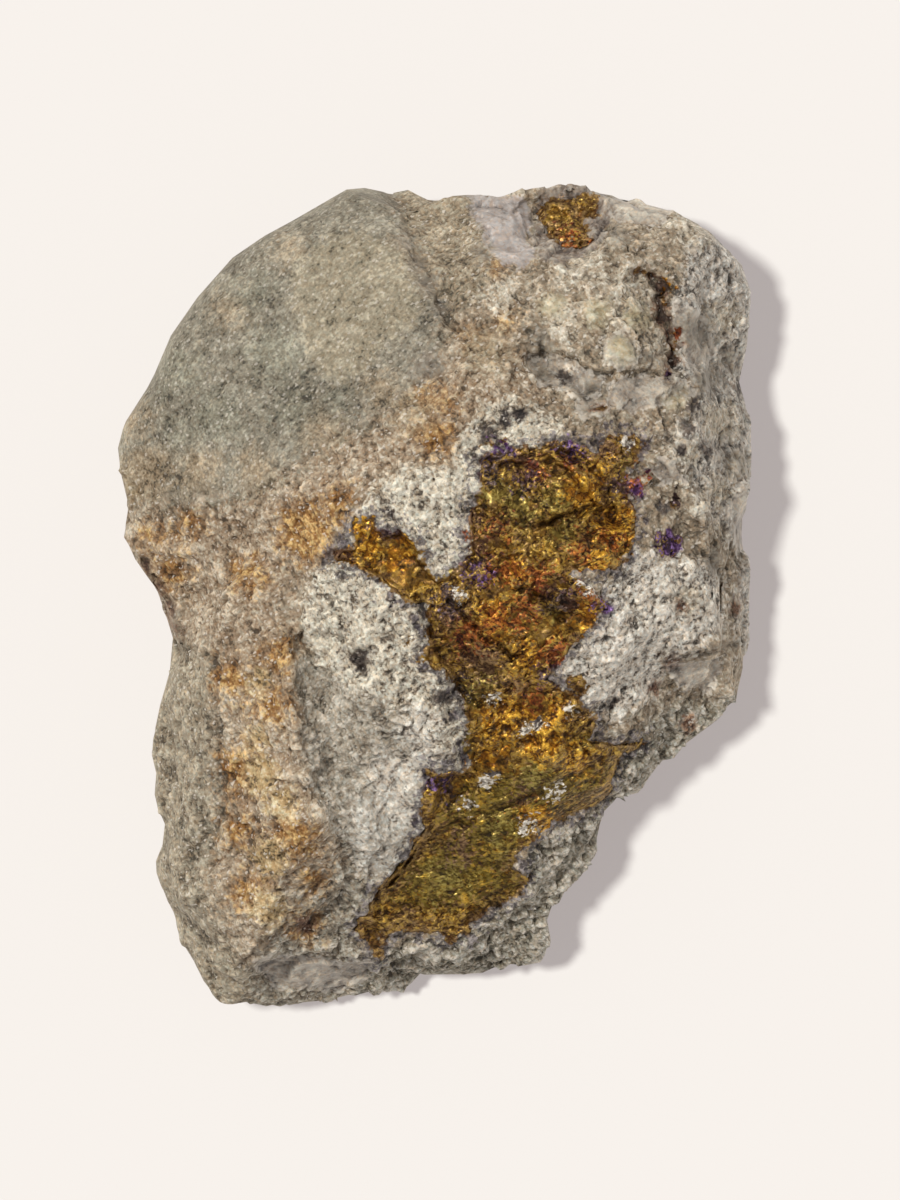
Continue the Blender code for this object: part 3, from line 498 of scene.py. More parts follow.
def along_and_across(points, turn):
    """How far each point lies along and across a direction seen from above."""
    along = points[:, 0] * np.cos(turn) + points[:, 1] * np.sin(turn)
    return along, points[:, 1] * np.cos(turn) - points[:, 0] * np.sin(turn)


def brushed(points, width, length, patch):
    """Fine grooves that run one way in each patch of this width, and another way in the next."""
    centres = np.array([noise.voronoi(point)[1][0][:] for point in (points / patch).tolist()])
    cells = (centres + PATCH_SHIFT).tolist()
    along, across = along_and_across(points, math.pi * np.array([noise.cell(cell) for cell in cells]))
    reach, wave_width = FIBRE_WAVE
    waved = across + reach * soft_noise(points, wave_width, FIBRE_SHIFT)
    drawn = np.stack([along / length, waved / width, points[:, 2] / length], axis=1)
    return -ridges(drawn, 1.0)


def striae(points):
    """Scratches along the striated facets."""
    along, across = along_and_across(points, STRIAE_TURN)
    stretched = np.stack([along / STRIAE_LENGTH, across / STRIAE_WIDTH, 0 * along], axis=1)
    return soft_noise(stretched, 1.0)


# How deep each kind of relief is, outside the zones and in each of them: blocks 5, 2.4 and 1.1 mm
# wide and grains 0.75 mm wide. Later zones lie over earlier ones.
BASE_RELIEF = (0.52, 0.46, 0.26, 0.16)
RELIEF = {
    "wall": (0.50, 0.60, 0.50, 0.32),
    "grey_right": (0.40, 0.40, 0.32, 0.22),
    "rib_face": (0.30, 0.32, 0.28, 0.20),
    "foot": (0.45, 0.48, 0.40, 0.26),
    "stain": (0.42, 0.40, 0.30, 0.26),
    "tan": (0.30, 0.26, 0.20, 0.20),
    "host": (0.20, 0.16, 0.12, 0.14),
    "scar": (0.12, 0.10, 0.08, 0.12),
    "lens": (0.40, 0.36, 0.30, 0.24),
    "pale_lens": (0.26, 0.20, 0.15, 0.15),
    "white": (0.50, 0.55, 0.50, 0.34),
    "white_right": (0.50, 0.55, 0.48, 0.32),
    "lavender": (0.60, 0.40, 0.10, 0.03),
    "pit": (0.60, 0.50, 0.20, 0.06),
    "ore": (0.30, 0.20, 0.10, 0.05),
}
GLASS_RELIEF = (0.50, 0.30, 0.05, 0.02)
RELIEF.update({name: GLASS_RELIEF for name in GLASS})
BLOCK_WIDTHS = (5.0, 2.4, 1.1)
GRAIN_WIDTH = 0.75
# How each size of block is turned, and how softly the relief changes from zone to zone
TURNS = [Euler(angles).to_matrix() for angles in ((0.5, 0.7, 0.3), (1.1, 0.2, 0.8), (0.3, 1.4, 0.6))]
RELIEF_EDGE = 1.2
# How much of each kind of relief the sides and the underside have
SIDE_SHARES = (0.6, 0.6, 0.4, 0.4)
# The zones that a crust covers, how far the stone is lower there, and how far and where glass is
CRUSTED = ("ore", "white", "white_right")
CRUST_SUNK = 0.55
GLASS_SUNK = 0.25
GLASS_SUNK_FROM = 0.375
GLASS_SUNK_OVER = 0.25
# The upward part of its normal from which a face starts to count as an upper one, how much more
# makes it one in full, and how much finer the mesh is there
UPWARD_FROM = 0.1
UPWARD_OVER = 0.4
FINER_ABOVE = 0.85
# The stone's foot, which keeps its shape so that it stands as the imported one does
FOOT_HEIGHT = 0.05
FOOT_FADE = 1.5
# How far round a place its bulge is measured, and the bulge that counts in full
BULGE_ROUNDS = 8
BULGE_DEPTH = 0.14


def vertex_rows(mesh, name):
    """The three numbers with this name of each of the mesh's vertices."""
    flat = np.empty(3 * len(mesh.vertices), np.float32)
    mesh.vertices.foreach_get(name, flat)
    return flat.reshape(-1, 3).astype(float)


def coordinates(mesh):
    """The mesh's vertices in millimetres."""
    return vertex_rows(mesh, "co") / MM


def move_to(mesh, points):
    """Puts the mesh's vertices at these points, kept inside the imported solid's box."""
    low, high = (np.array(corner[:]) / MM for corner in cad_box)
    held = np.clip(points, low, high) * MM
    mesh.vertices.foreach_set("co", held.astype(np.float32).ravel())
    mesh.update()


def add_attribute(mesh, name, values):
    """Stores one number for each vertex, for the material to read."""
    layer = mesh.attributes.new(name, "FLOAT", "POINT")
    layer.data.foreach_set("value", values.astype(np.float32))


def evaluated_mesh(thing, name):
    """A new mesh of the object as its modifiers make it."""
    bpy.context.view_layer.update()
    graph = bpy.context.evaluated_depsgraph_get()
    mesh = bpy.data.meshes.new_from_object(thing.evaluated_get(graph))
    mesh.name = name
    return mesh


def add_object(name, data):
    """A new object in the scene."""
    thing = bpy.data.objects.new(name, data)
    bpy.context.scene.collection.objects.link(thing)
    return thing


def even_mesh():
    """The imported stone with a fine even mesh, softened a little, and more on the host rock."""
    packed = add_object("fine_stone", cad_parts[NODE].data.copy())
    even = packed.modifiers.new("even", "REMESH")
    even.mode = "VOXEL"
    even.voxel_size = STONE_CELL * MM
    packed.modifiers.new("soften", "SMOOTH").iterations = SOFTENING
    packed.data = evaluated_mesh(packed, "quartz_stone")
    packed.modifiers.clear()
    points = coordinates(packed.data)
    host = smooth(inside_distance(points[:, :2] - ZONES_MIDDLE, ZONES["host"]) / HOST_EDGE)
    add_weights(packed, "softer", host)
    soften = packed.modifiers.new("soften_host", "SMOOTH")
    soften.iterations = HOST_SOFTENING
    soften.vertex_group = "softer"
    mesh = evaluated_mesh(packed, "quartz_stone")
    bpy.data.objects.remove(packed)
    points = coordinates(mesh)
    for place, push, reach in PUSHES:
        away = np.linalg.norm(points[:, :2] - place, axis=1) / reach
        points[:, :2] += np.exp(-away * away)[:, None] * push
    move_to(mesh, points)
    return mesh


def zone_shares(points, facing_up):
    """The share that each zone's relief has at each point."""
    flat = wandering(points)
    shares = {}
    for name in RELIEF:
        shares[name] = smooth(inside_distance(flat, ZONES[name]) / RELIEF_EDGE + 0.5)
        if name in CRUSTED:
            shares[name] *= facing_up
    return shares


def relief(points, facing_up):
    """How far the broken surface stands out from the softened one."""
    shares = zone_shares(points, facing_up)
    kinds = [facets(points, width, turn) for width, turn in zip(BLOCK_WIDTHS, TURNS)]
    kinds.append(crumbs(points, GRAIN_WIDTH))
    total = np.zeros(len(points))
    for index, (kind, sides) in enumerate(zip(kinds, SIDE_SHARES)):
        depth = np.full(len(points), BASE_RELIEF[index])
        for name, share in shares.items():
            depth += share * (RELIEF[name][index] - depth)
        total += depth * kind * (sides + (1.0 - sides) * facing_up)
    covered = np.max([shares[name] for name in CRUSTED], axis=0)
    glass = np.max([shares[name] for name in GLASS], axis=0)
    sunk = smooth((glass - GLASS_SUNK_FROM) / GLASS_SUNK_OVER)
    return total - CRUST_SUNK * covered - GLASS_SUNK * sunk


def carve(points, facing_up):
    """How far the cracks and steps lower the upper faces."""
    flat = wandering(points, CRACK_WAVE)
    total = np.zeros(len(points))
    for line, width, depth in CRACKS:
        total += depth * smooth(1.0 - line_distance(flat, line) / width)
    for line, drop, reach in STEPS:
        total += step_down(flat, line, drop, reach)
    return total * facing_up


def standing(points, ground, level):
    """How far each point stands out from the softened surface, held between -1 and 1."""
    heights = []
    for point in points.tolist():
        place, normal, _, _ = ground.find_nearest(point)
        heights.append((Vector(point) - place).dot(normal) - level)
    return np.clip(heights, -1.0, 1.0)


def bulges(mesh):
    """How far each vertex stands out from the surface close round it, between -1 and 1."""
    points = coordinates(mesh)
    ends = np.empty(2 * len(mesh.edges), np.int32)
    mesh.edges.foreach_get("vertices", ends)
    first, second = ends.reshape(-1, 2).T
    beside = np.bincount(ends, minlength=len(points))
    eased = points.T
    for _ in range(BULGE_ROUNDS):
        sums = [
            np.bincount(first, side[second], len(points)) + np.bincount(second, side[first], len(points))
            for side in eased
        ]
        eased = (eased + np.array(sums) / beside) / 2
    out = ((points - eased.T) * vertex_rows(mesh, "normal")).sum(axis=1)
    return np.clip(out / BULGE_DEPTH, -1.0, 1.0)


def store_zones(mesh, ground, level):
    """Stores how far each vertex is inside each zone, for the materials."""
    points = coordinates(mesh)
    flat = wandering(points)
    # How far each vertex stands out, which the materials turn into painted shade in hollows and painted
    # light on tops and bulges
    add_attribute(mesh, "height", standing(points, ground, level))
    add_attribute(mesh, "bulge", bulges(mesh))
    gaps = {name: inside_distance(flat, outline) for name, outline in ZONES.items()}
    gaps["glass"] = np.max([gaps.pop(name) for name in GLASS], axis=0)
    for name, gap in gaps.items():
        add_attribute(mesh, name, gap)
    for name, spots in SPOTS.items():
        add_attribute(mesh, name, spot_distance(flat, spots))
    # The cracks, which the materials darken with painted shade
    cracks = [width / 2 - line_distance(flat, line) for line, width, _ in CRACKS]
    add_attribute(mesh, "crack", np.max(cracks, axis=0))


def top_at(ground, x, y):
    """The height of the stone's highest surface at this place, and how level it is there."""
    hit, normal, _, _ = ground.ray_cast(Vector((x, y, OVERHEAD)), Vector((0.0, 0.0, -1.0)))
    return (math.nan, 0.0) if hit is None else (hit.z, normal.z)


def add_weights(thing, name, weights):
    """A vertex group from a weight for each vertex, in steps of a tenth."""
    group = thing.vertex_groups.new(name=name)
    stepped = np.round(weights, 1)
    for value in np.unique(stepped):
        group.add(np.flatnonzero(stepped == value).tolist(), float(value), "REPLACE")


def make_piece(name, mesh, ground, level, triangles, weights=None):
    """A piece of the scene with this mesh thinned to so many triangles, and its zones stored."""
    piece = add_object(name, mesh)
    fewer = piece.modifiers.new("fewer_faces", "DECIMATE")
    fewer.ratio = min(1.0, triangles / (2 * len(mesh.polygons)))
    fewer.use_collapse_triangulate = True
    if weights is not None:
        add_weights(piece, "coarse", weights)
        fewer.vertex_group = "coarse"
    piece.data = evaluated_mesh(piece, name)
    piece.modifiers.clear()
    piece.vertex_groups.clear()
    move_to(piece.data, coordinates(piece.data))
    store_zones(piece.data, ground, level)
    piece.data.shade_smooth()
    return piece


def make_stone():
    """The stone itself, and its surface before the relief for the finer pieces to lie on."""
    mesh = even_mesh()
    points = coordinates(mesh)
    outward = vertex_rows(mesh, "normal")
    facing_up = smooth((outward[:, 2] - UPWARD_FROM) / UPWARD_OVER)
    polygons = [tuple(polygon.vertices) for polygon in mesh.polygons]
    ground = BVHTree.FromPolygons(points.tolist(), polygons)
    moved = points + outward * relief(points, facing_up)[:, None]
    moved[:, 2] -= carve(points, facing_up)
    above_foot = smooth((points[:, 2] - FOOT_HEIGHT) / FOOT_FADE)[:, None]
    move_to(mesh, points + (moved - points) * above_foot)
    coarse = 1.0 - FINER_ABOVE * facing_up
    return make_piece("quartz_stone", mesh, ground, 0.0, STONE_TRIANGLES, coarse), ground


# The ore's own relief: folds (grooves where the depth is less than 0), lumps and broken facets, each
# as a width and a depth
ORE_FOLDS = ((4.6, 0.85), (1.9, -0.36))
ORE_LUMPS = ((3.0, 0.36), (1.1, 0.16))
ORE_FACETS = ((2.1, 0.55), (0.9, 0.36))
# Its fibres: their width, length, the width of a patch that runs one way, and their depth
ORE_FIBRES = ((0.75, 3.0, 3.2, 0.26), (0.42, 1.8, 1.7, 0.16))
# The striated facets: their scratches' depth, their share of the relief, and how soft an edge
STRIAE_DEPTH = 0.10
OLIVE_SHARE = 0.26
OLIVE_EDGE = 1.5

# The sugary quartz's relief: clumps, then blocks and grains with flat faces
SUGAR_CLUMPS = ((3.2, 0.95), (1.5, 0.36))
SUGAR_BLOCKS = ((1.25, 0.42), (0.66, 0.34))
# What makes folds, lumps and clumps differ from other patterns at the same places
FOLD_SHIFT = 5.0
LUMP_SHIFT = 2.0
CLUMP_SHIFT = 7.0

# How a crust lies: how far its rim reaches past its zone, how far the rim dips, over how wide a
# rim the relief fades, and its thickness
CRUST_REACH = 0.9
CRUST_DIP = 1.1
RIM_FADE = 1.6
CRUST_THICKNESS = 1.9
LEAST_THICKNESS = 0.2
# How level its ground has to be, 1 being flat, how soon it ends on steeper ground, and the least
# level that the dip of its rim allows for
STEEPEST = 0.4
STEEP_REACH = 6.0
LEAST_LEVEL = 0.3
# How far each crust lies above the softened stone, and how far the white one runs under the ore
ORE_LEVEL = -0.30
SUGAR_LEVEL = 0.05
SUGAR_UNDER_ORE = 0.2
# How far round a zone the ground is looked up, and from which height
SEARCH_REACH = 3.0 * CRUST_REACH
OVERHEAD = 100.0


def ore_gap(flat):
    """Distance inside the seam of ore or one of its bits."""
    seam = inside_distance(flat, ZONES["ore"])
    return np.maximum(seam, spot_distance(flat, SPOTS["ore_bits"]))


def ore_relief(points, flat):
    """How far the ore's crinkled surface stands out."""
    total = np.zeros(len(points))
    for width, depth in ORE_FOLDS:
        total += depth * ridges(points, width, FOLD_SHIFT)
    for width, depth in ORE_LUMPS:
        total += depth * crumbs(points, width, LUMP_SHIFT)
    for (width, depth), turn in zip(ORE_FACETS, TURNS):
        total += depth * facets(points, width, turn)
    for width, length, patch, depth in ORE_FIBRES:
        total += depth * brushed(points, width, length, patch)
    smoother = smooth(inside_distance(flat, ZONES["olive"]) / OLIVE_EDGE + 0.5)
    total *= 1.0 - (1.0 - OLIVE_SHARE) * smoother
    return total + smoother * STRIAE_DEPTH * striae(points)


def grid_solid(name, top, bottom, kept):
    """A closed mesh between two sheets of points on a grid, with a wall round the kept cells."""
    rows, columns = kept.shape
    index = np.arange((rows + 1) * (columns + 1)).reshape(rows + 1, columns + 1)
    below = index.size
    corners = [index[:-1, :-1], index[:-1, 1:], index[1:, 1:], index[1:, :-1]]
    faces = [np.stack([corner[kept] for corner in corners], axis=1)]
    faces.append(faces[0][:, ::-1] + below)
    padded = np.pad(kept, 1)
    sides = (((0, -1), 0, 1), ((1, 0), 1, 2), ((0, 1), 2, 3), ((-1, 0), 3, 0))
    for (across, along), first, second in sides:
        beside = padded[1 + along : rows + 1 + along, 1 + across : columns + 1 + across]
        edge = kept & ~beside
        start, end = corners[first][edge], corners[second][edge]
        faces.append(np.stack([end, start, start + below, end + below], axis=1))
    mesh = bpy.data.meshes.new(name)
    sheets = np.concatenate([top, bottom]) * MM
    mesh.from_pydata(sheets.tolist(), [], np.concatenate(faces).tolist())
    tidy = bmesh.new()
    tidy.from_mesh(mesh)
    loose = [vertex for vertex in tidy.verts if not vertex.link_faces]
    bmesh.ops.delete(tidy, geom=loose, context="VERTS")
    tidy.to_mesh(mesh)
    tidy.free()
    return mesh


def sugar_gap(flat):
    """Distance inside the white sugary quartz, less than 0 in the ore that cuts it."""
    white = [inside_distance(flat, ZONES[name]) for name in ("white", "white_right")]
    return np.minimum(np.max(white, axis=0), SUGAR_UNDER_ORE - inside_distance(flat, ZONES["ore"]))


def sugar_relief(points, flat):
    """How far the sugary quartz's clumps and grains stand out."""
    total = np.zeros(len(points))
    for width, depth in SUGAR_CLUMPS:
        total += depth * crumbs(points, width, CLUMP_SHIFT)
    for (width, depth), turn in zip(SUGAR_BLOCKS, TURNS):
        total += depth * facets(points, width, turn)
    return total


def make_crust(name, ground, gap_inside, relief_of, level, cell, triangles):
    """A thin finer piece over one zone, which dips under its neighbours at its rim."""
    low, high = (np.array(corner[:2]) / MM for corner in cad_box)
    across = np.arange(low[0], high[0], cell)
    along = np.arange(low[1], high[1], cell)
    x, y = (side.ravel() for side in np.meshgrid(across, along))
    near = gap_inside(np.stack([x, y], axis=1)) > -SEARCH_REACH
    z, level_share = np.full((2, len(x)), np.nan)
    found = [top_at(ground, *place) for place in zip(x[near].tolist(), y[near].tolist())]
    z[near], level_share[near] = np.array(found).T
    hit = ~np.isnan(z)
    points = np.stack([x, y, z], axis=1)[hit]
    flat = wandering(points)
    gap = np.full(len(x), -np.inf)
    gap[hit] = np.minimum(gap_inside(flat), STEEP_REACH * (level_share[hit] - STEEPEST))
    inside = (gap > -CRUST_REACH).reshape(len(along), len(across))
    kept = inside[:-1, :-1] & inside[1:, :-1] & inside[:-1, 1:] & inside[1:, 1:]
    sheet = np.stack([x, y, np.where(hit, z, 0.0)], axis=1)
    top, bottom = sheet.copy(), sheet.copy()
    fades = smooth(gap[hit] / RIM_FADE + 0.5)
    top[hit, 2] += level + relief_of(points, flat) * fades - carve(points, 1.0)
    dips = CRUST_DIP / np.maximum(level_share[hit], LEAST_LEVEL)
    top[hit, 2] -= dips * (1.0 - smooth(gap[hit] / CRUST_REACH + 1.0))
    bottom[:, 2] = np.minimum(top[:, 2] - LEAST_THICKNESS, sheet[:, 2] - CRUST_THICKNESS)
    return make_piece(name, grid_solid(name, top, bottom, kept), ground, level, triangles)


def colour(red, green, blue):
    """A colour given in 0 to 255 as a screen shows it, for a shader's socket."""
    shown = np.array([red, green, blue]) / 255.0
    linear = np.where(shown <= 0.04045, shown / 12.92, ((shown + 0.055) / 1.055) ** 2.4)
    return (*linear.tolist(), 1.0)


# How broken and twisted streaks are, and how sharply a grain turns into a fleck
STREAK_DETAIL = 2.0
STREAK_TWIST = 0.6
FLECK_SHARPNESS = 40.0


class Board:
    """A material's nodes, wired up one after another."""

    def __init__(self, name):
        self.material = bpy.data.materials.new(name)
        self.material.use_nodes = True
        self.tree = self.material.node_tree
        self.shader = self.tree.nodes["Principled BSDF"]
        place = self.node("TexCoord", {}).outputs["Object"]
        inputs = {0: place, "Scale": 1.0 / MM}
        self.place = self.node("VectorMath", inputs, operation="SCALE").outputs[0]

    def feed(self, socket, value):
        """Sets a socket to a value, or links it to another socket."""
        if isinstance(value, bpy.types.NodeSocket):
            self.tree.links.new(value, socket)
        else:
            socket.default_value = value

    def node(self, kind, inputs, **settings):
        """A new node with these settings, its inputs set to values or linked to other sockets."""
        node = self.tree.nodes.new("ShaderNode" + kind)
        for name, value in settings.items():
            setattr(node, name, value)
        for key, value in inputs.items():
            self.feed(node.inputs[key], value)
        return node

    def shade(self, inputs):
        """Sets the shader's inputs."""
        for name, value in inputs.items():
            self.feed(self.shader.inputs[name], value)

    def maths(self, operation, first, second=0.0, clamp=False):
        """What this operation makes of one or two numbers."""
        inputs = {0: first, 1: second}
        return self.node("Math", inputs, operation=operation, use_clamp=clamp).outputs[0]

    def total(self, start, *terms):
        """A start value plus each term's socket less its middle of 0.5, times its gain."""
        value = start
        for socket, gain in terms:
            centred = self.maths("SUBTRACT", socket, 0.5)
            value = self.maths("ADD", value, self.maths("MULTIPLY", centred, gain))
        return value

    def mix(self, share, first, second, kind="MIX"):
        """Goes from the first colour to the second, or to their product, with the share."""
        inputs = {0: share, 6: first, 7: second}
        return self.node("Mix", inputs, data_type="RGBA", blend_type=kind).outputs[2]

    def blend(self, share, first, second):
        """Goes from the first number to the second with the share."""
        return self.node("Mix", {0: share, 2: first, 3: second}).outputs[0]

    def ramp(self, value, stops):
        """The colour that these stops give to a value."""
        node = self.node("ValToRGB", {0: value})
        elements = node.color_ramp.elements
        while len(elements) < len(stops):
            elements.new(0.5)
        for element, (position, tint) in zip(elements, stops):
            element.position = position
            element.color = tint
        return node.outputs[0]

    def clouds(self, place, width, detail, twist):
        """Soft noise of this width, round 0.5."""
        inputs = {"Vector": place, "Scale": 1.0 / width, "Detail": detail, "Distortion": twist}
        return self.node("TexNoise", inputs).outputs["Fac"]

    def waves(self, width, detail=2.0, twist=0.0, shift=0.0):
        """Soft noise. Another shift gives another pattern."""
        moved = self.node("VectorMath", {0: self.place, 1: (shift, -shift, shift)})
        return self.clouds(moved.outputs[0], width, detail, twist)

    def turned(self, angles, stretch):
        """The place, turned and pressed together so that a pattern on it is drawn out."""
        inputs = {"Vector": self.place, "Rotation": angles, "Scale": (stretch, 1.0, 1.0)}
        return self.node("Mapping", inputs, vector_type="TEXTURE").outputs[0]

    def streaks(self, width, angles, stretch):
        """Fine streaks drawn out one way, round 0.5."""
        return self.clouds(self.turned(angles, stretch), width, STREAK_DETAIL, STREAK_TWIST)

    def grains(self, width, angles=(0.0, 0.0, 0.0), stretch=1.0):
        """Three random values for each grain of this width, with sharp edges between grains."""
        inputs = {"Vector": self.turned(angles, stretch), "Scale": 1.0 / width}
        cells = self.node("TexVoronoi", inputs).outputs["Color"]
        return list(self.node("SeparateColor", {0: cells}).outputs)

    def fleck(self, pattern, least):
        """1 in the few grains whose random value is above this, 0 in the others."""
        over = self.maths("SUBTRACT", pattern, least)
        return self.maths("MULTIPLY", over, FLECK_SHARPNESS, clamp=True)

    def attribute(self, name):
        """A number stored in the mesh."""
        return self.node("Attribute", {}, attribute_name=name).outputs["Fac"]

    def share(self, gap, softness, *ragged):
        """From 0 outside a zone to 1 inside it, with an edge made ragged by noise."""
        moved = self.total(gap, *ragged)
        scaled = self.maths("DIVIDE", moved, softness)
        return self.maths("ADD", scaled, 0.5, clamp=True)

    def bump(self, height, strength, depth):
        """A normal with fine bump of this depth."""
        inputs = {"Height": height, "Strength": strength, "Distance": depth * MM}
        return self.node("Bump", inputs).outputs["Normal"]


# Where in the tone a zone's dark and light colours are reached, and how much darker and lighter
# than them its extremes are
DARK_STOP = 0.2
LIGHT_STOP = 0.8
DARKEST = 0.62
LIGHTEST = 1.14


def tints(dark, middle, light):
    """Colour stops from a zone's dark, middle and light colours."""
    darkest = [value * DARKEST for value in dark]
    lightest = [min(255.0, value * LIGHTEST) for value in light]
    return [
        (0.0, colour(*darkest)),
        (DARK_STOP, colour(*dark)),
        (0.5, colour(*middle)),
        (LIGHT_STOP, colour(*light)),
        (1.0, colour(*lightest)),
    ]


# The stone's layers, bottom first: the zone, how soft and how ragged its edge is, the pattern of
# its tone, and its dark, middle and light colours
STONE_LAYERS = [
    ("wall", 1.2, 3.0, "hackly", (112, 104, 90), (155, 147, 132), (190, 182, 170)),
    ("grey_right", 1.5, 3.0, "hackly", (124, 116, 108), (180, 172, 162), (208, 201, 192)),
    ("rib_face", 1.5, 3.0, "hackly", (122, 110, 93), (153, 142, 124), (180, 168, 148)),
    ("foot", 1.2, 2.0, "hackly", (122, 112, 98), (154, 144, 128), (188, 180, 166)),
    ("stain", 3.4, 6.0, "stained", (133, 112, 90), (159, 141, 120), (193, 178, 158)),
    ("hot", 2.4, 5.0, "stained", (118, 80, 40), (153, 114, 67), (200, 166, 112)),
    ("cream", 1.4, 3.0, "stained", (158, 134, 96), (190, 163, 121), (213, 195, 160)),
    ("tan", 1.4, 3.0, "weathered", (122, 109, 90), (150, 136, 116), (178, 165, 144)),
    ("host", 2.0, 6.5, "weathered", (108, 101, 87), (132, 125, 110), (156, 149, 133)),
    ("brown", 3.0, 5.0, "weathered", (120, 104, 82), (146, 130, 107), (172, 156, 132)),
    ("green", 3.0, 5.0, "weathered", (101, 97, 83), (127, 122, 106), (152, 148, 131)),
    ("scar", 1.2, 2.6, "weathered", (130, 120, 100), (147, 137, 117), (171, 161, 140)),
    ("lens", 0.8, 2.0, "weathered", (130, 120, 106), (160, 151, 137), (188, 179, 166)),
    ("pale_lens", 1.6, 3.0, "sugary", (156, 147, 135), (180, 172, 160), (206, 200, 190)),
    ("white", 1.0, 3.0, "sugary", (120, 109, 97), (189, 179, 163), (212, 204, 188)),
    ("white_right", 1.6, 3.4, "sugary", (116, 107, 99), (197, 188, 176), (217, 209, 198)),
    ("milky", 2.2, 4.0, "sugary", (150, 140, 130), (206, 197, 185), (224, 217, 206)),
    ("sugar_bits", 0.8, 2.0, "sugary", (110, 99, 86), (160, 149, 133), (206, 197, 181)),
    ("pale", 1.6, 4.0, "hackly", (150, 137, 120), (181, 169, 151), (211, 201, 185)),
    ("lavender", 0.5, 1.4, "glassy", (146, 136, 131), (170, 160, 155), (190, 180, 175)),
    ("glass", 0.25, 1.0, "glassy", (138, 128, 118), (175, 164, 151), (208, 197, 181)),
    ("honey", 1.4, 2.0, "glassy", (150, 138, 112), (182, 170, 143), (208, 198, 174)),
    # Darker glassy quartz, and painted shade along the host rock's groove
    ("shade", 1.6, 3.0, "glassy", (113, 104, 93), (137, 127, 113), (166, 156, 141)),
    ("pit", 0.4, 1.4, "glassy", (94, 83, 76), (138, 126, 116), (174, 162, 149)),
    # Rust, and painted shadow in the undercut notch at the left
    ("rust", 0.7, 2.2, "stained", (72, 50, 40), (112, 84, 68), (158, 130, 108)),
    ("dark", 0.4, 1.3, "hackly", (56, 49, 47), (86, 77, 72), (124, 113, 104)),
]
# What lies under them all, the white bits on the ore, and the colours of flecks and of the painted shade in
# cracks
BASE_TINTS = ((126, 112, 94), (149, 134, 115), (182, 168, 149))
BIT_TINTS = ((124, 114, 100), (178, 170, 156), (216, 209, 195))
PALE_SPECK = (222, 214, 200)
DARK_SPECK_AND_CRACK_SHADE = (74, 64, 55)
ORE_CRACK_SHADE = (48, 32, 20)
CRACK_SHADE_SHARE = 0.4
CRACK_SHADE_SOFTNESS = 0.5
# Dark minerals where the quartz meets the ore
CONTACT_REACH = 0.7
CONTACT_SHARE = 0.8
CONTACT_TINTS = ((42, 37, 44), (72, 65, 70), (126, 118, 118))
# How soft these edges are, and how ragged they are by broad and by fine noise
CONTACT_EDGE = (0.4, 5.5, 1.6)
LIP_EDGE = (0.2, 1.6, 0.3)
BIT_EDGE = (0.25, 2.4, 0.5)
CRACK_SHADE_RAGGED = (1.6, 0.5)
TARNISH_RAGGED = (6.0, 1.4)
# How many times less ragged layers are by fine noise, and white bits on the ore by all noise
LESS_RAGGED = 3
# How soft zones that change only hues or fibres are
ZONE_SOFTNESS = 1.0
# Pale lips round the clear quartz
LIP_WIDTH = 0.1
LIP_SHARE = 0.35
# Small changes of hue from grain to grain, as colours to multiply by
HUES = [
    (0.0, (1.0, 0.89, 0.74, 1.0)),
    (0.35, (1.0, 0.97, 0.91, 1.0)),
    (0.65, (0.96, 1.0, 0.99, 1.0)),
    (1.0, (0.87, 0.97, 1.0, 1.0)),
]


# Grains: their width, and the turn and stretch of those that are drawn out
ROCK_GRAINS = {
    "flakes": (0.23, (0.3, 0.5, 0.6), 1.7),
    "needles": (0.23, (0.9, 0.2, -0.9), 2.2),
    "small": (0.40,),
    "large": (1.1,),
    "blocks": (3.0,),
}
# Waves: their width and detail, and their twist and shift where they have any
ROCK_WAVES = {"middling": (1.5, 5.0), "broad": (6.0, 3.0), "edge": (1.3, 4.0, 0.0, 30.0)}
# Streaks: their width, turn and stretch
ROCK_STREAKS = (0.30, (0.1, 0.2, 0.75), 2.2)
# The tone that the sugary pattern starts from and the one that the others do: its middle, and how
# much of the mesh's own relief it takes as painted shade in hollows and painted light on tops and bulges
SUGARY_START = (0.60, {"height": 0.52, "bulge": 0.12})
OTHER_START = (0.5, {"height": 0.26, "bulge": 0.14})
# How much of each of these a tone has
ROCK_TONES = {
    "weathered": {"flakes": 0.34, "needles": 0.30, "streaks": 1.0, "small": 0.14, "middling": 0.8,
                  "broad": 1.1},
    "stained": {"flakes": 0.30, "needles": 0.28, "streaks": 0.7, "small": 0.28, "middling": 1.1,
                "broad": 0.8},
    "hackly": {"flakes": 0.36, "needles": 0.30, "small": 0.28, "large": 0.22, "blocks": 0.26,
               "middling": 0.9},
    "sugary": {"flakes": 0.32, "needles": 0.26, "small": 0.42, "large": 0.18, "middling": 0.8},
    "glassy": {"flakes": 0.20, "needles": 0.16, "small": 0.10, "middling": 0.7, "broad": 1.2},
}
ROCK_HUE = {"flakes_hue": 0.50, "needles_hue": 0.40, "small_hue": 0.25}
BIT_HUE = {"middling": -1.2, "hue": 0.4}


def weighted(patterns, gains):
    """These patterns, each with how much of it there is."""
    return [(patterns[name], gain) for name, gain in gains.items()]


def basic_patterns(board, grains, waves):
    """Waves, grains with two more random values each, and the mesh's own relief for painted shade and
    light, round 0.5.
    """
    made = {name: board.waves(*shape) for name, shape in waves.items()}
    for name, shape in grains.items():
        made[name], made[name + "_hue"], made[name + "_speck"] = board.grains(*shape)
    # The mesh's height and bulge, for painted shade in hollows and painted light on tops
    for name in ("height", "bulge"):
        made[name] = board.maths("ADD", board.attribute(name), 0.5)
    return made


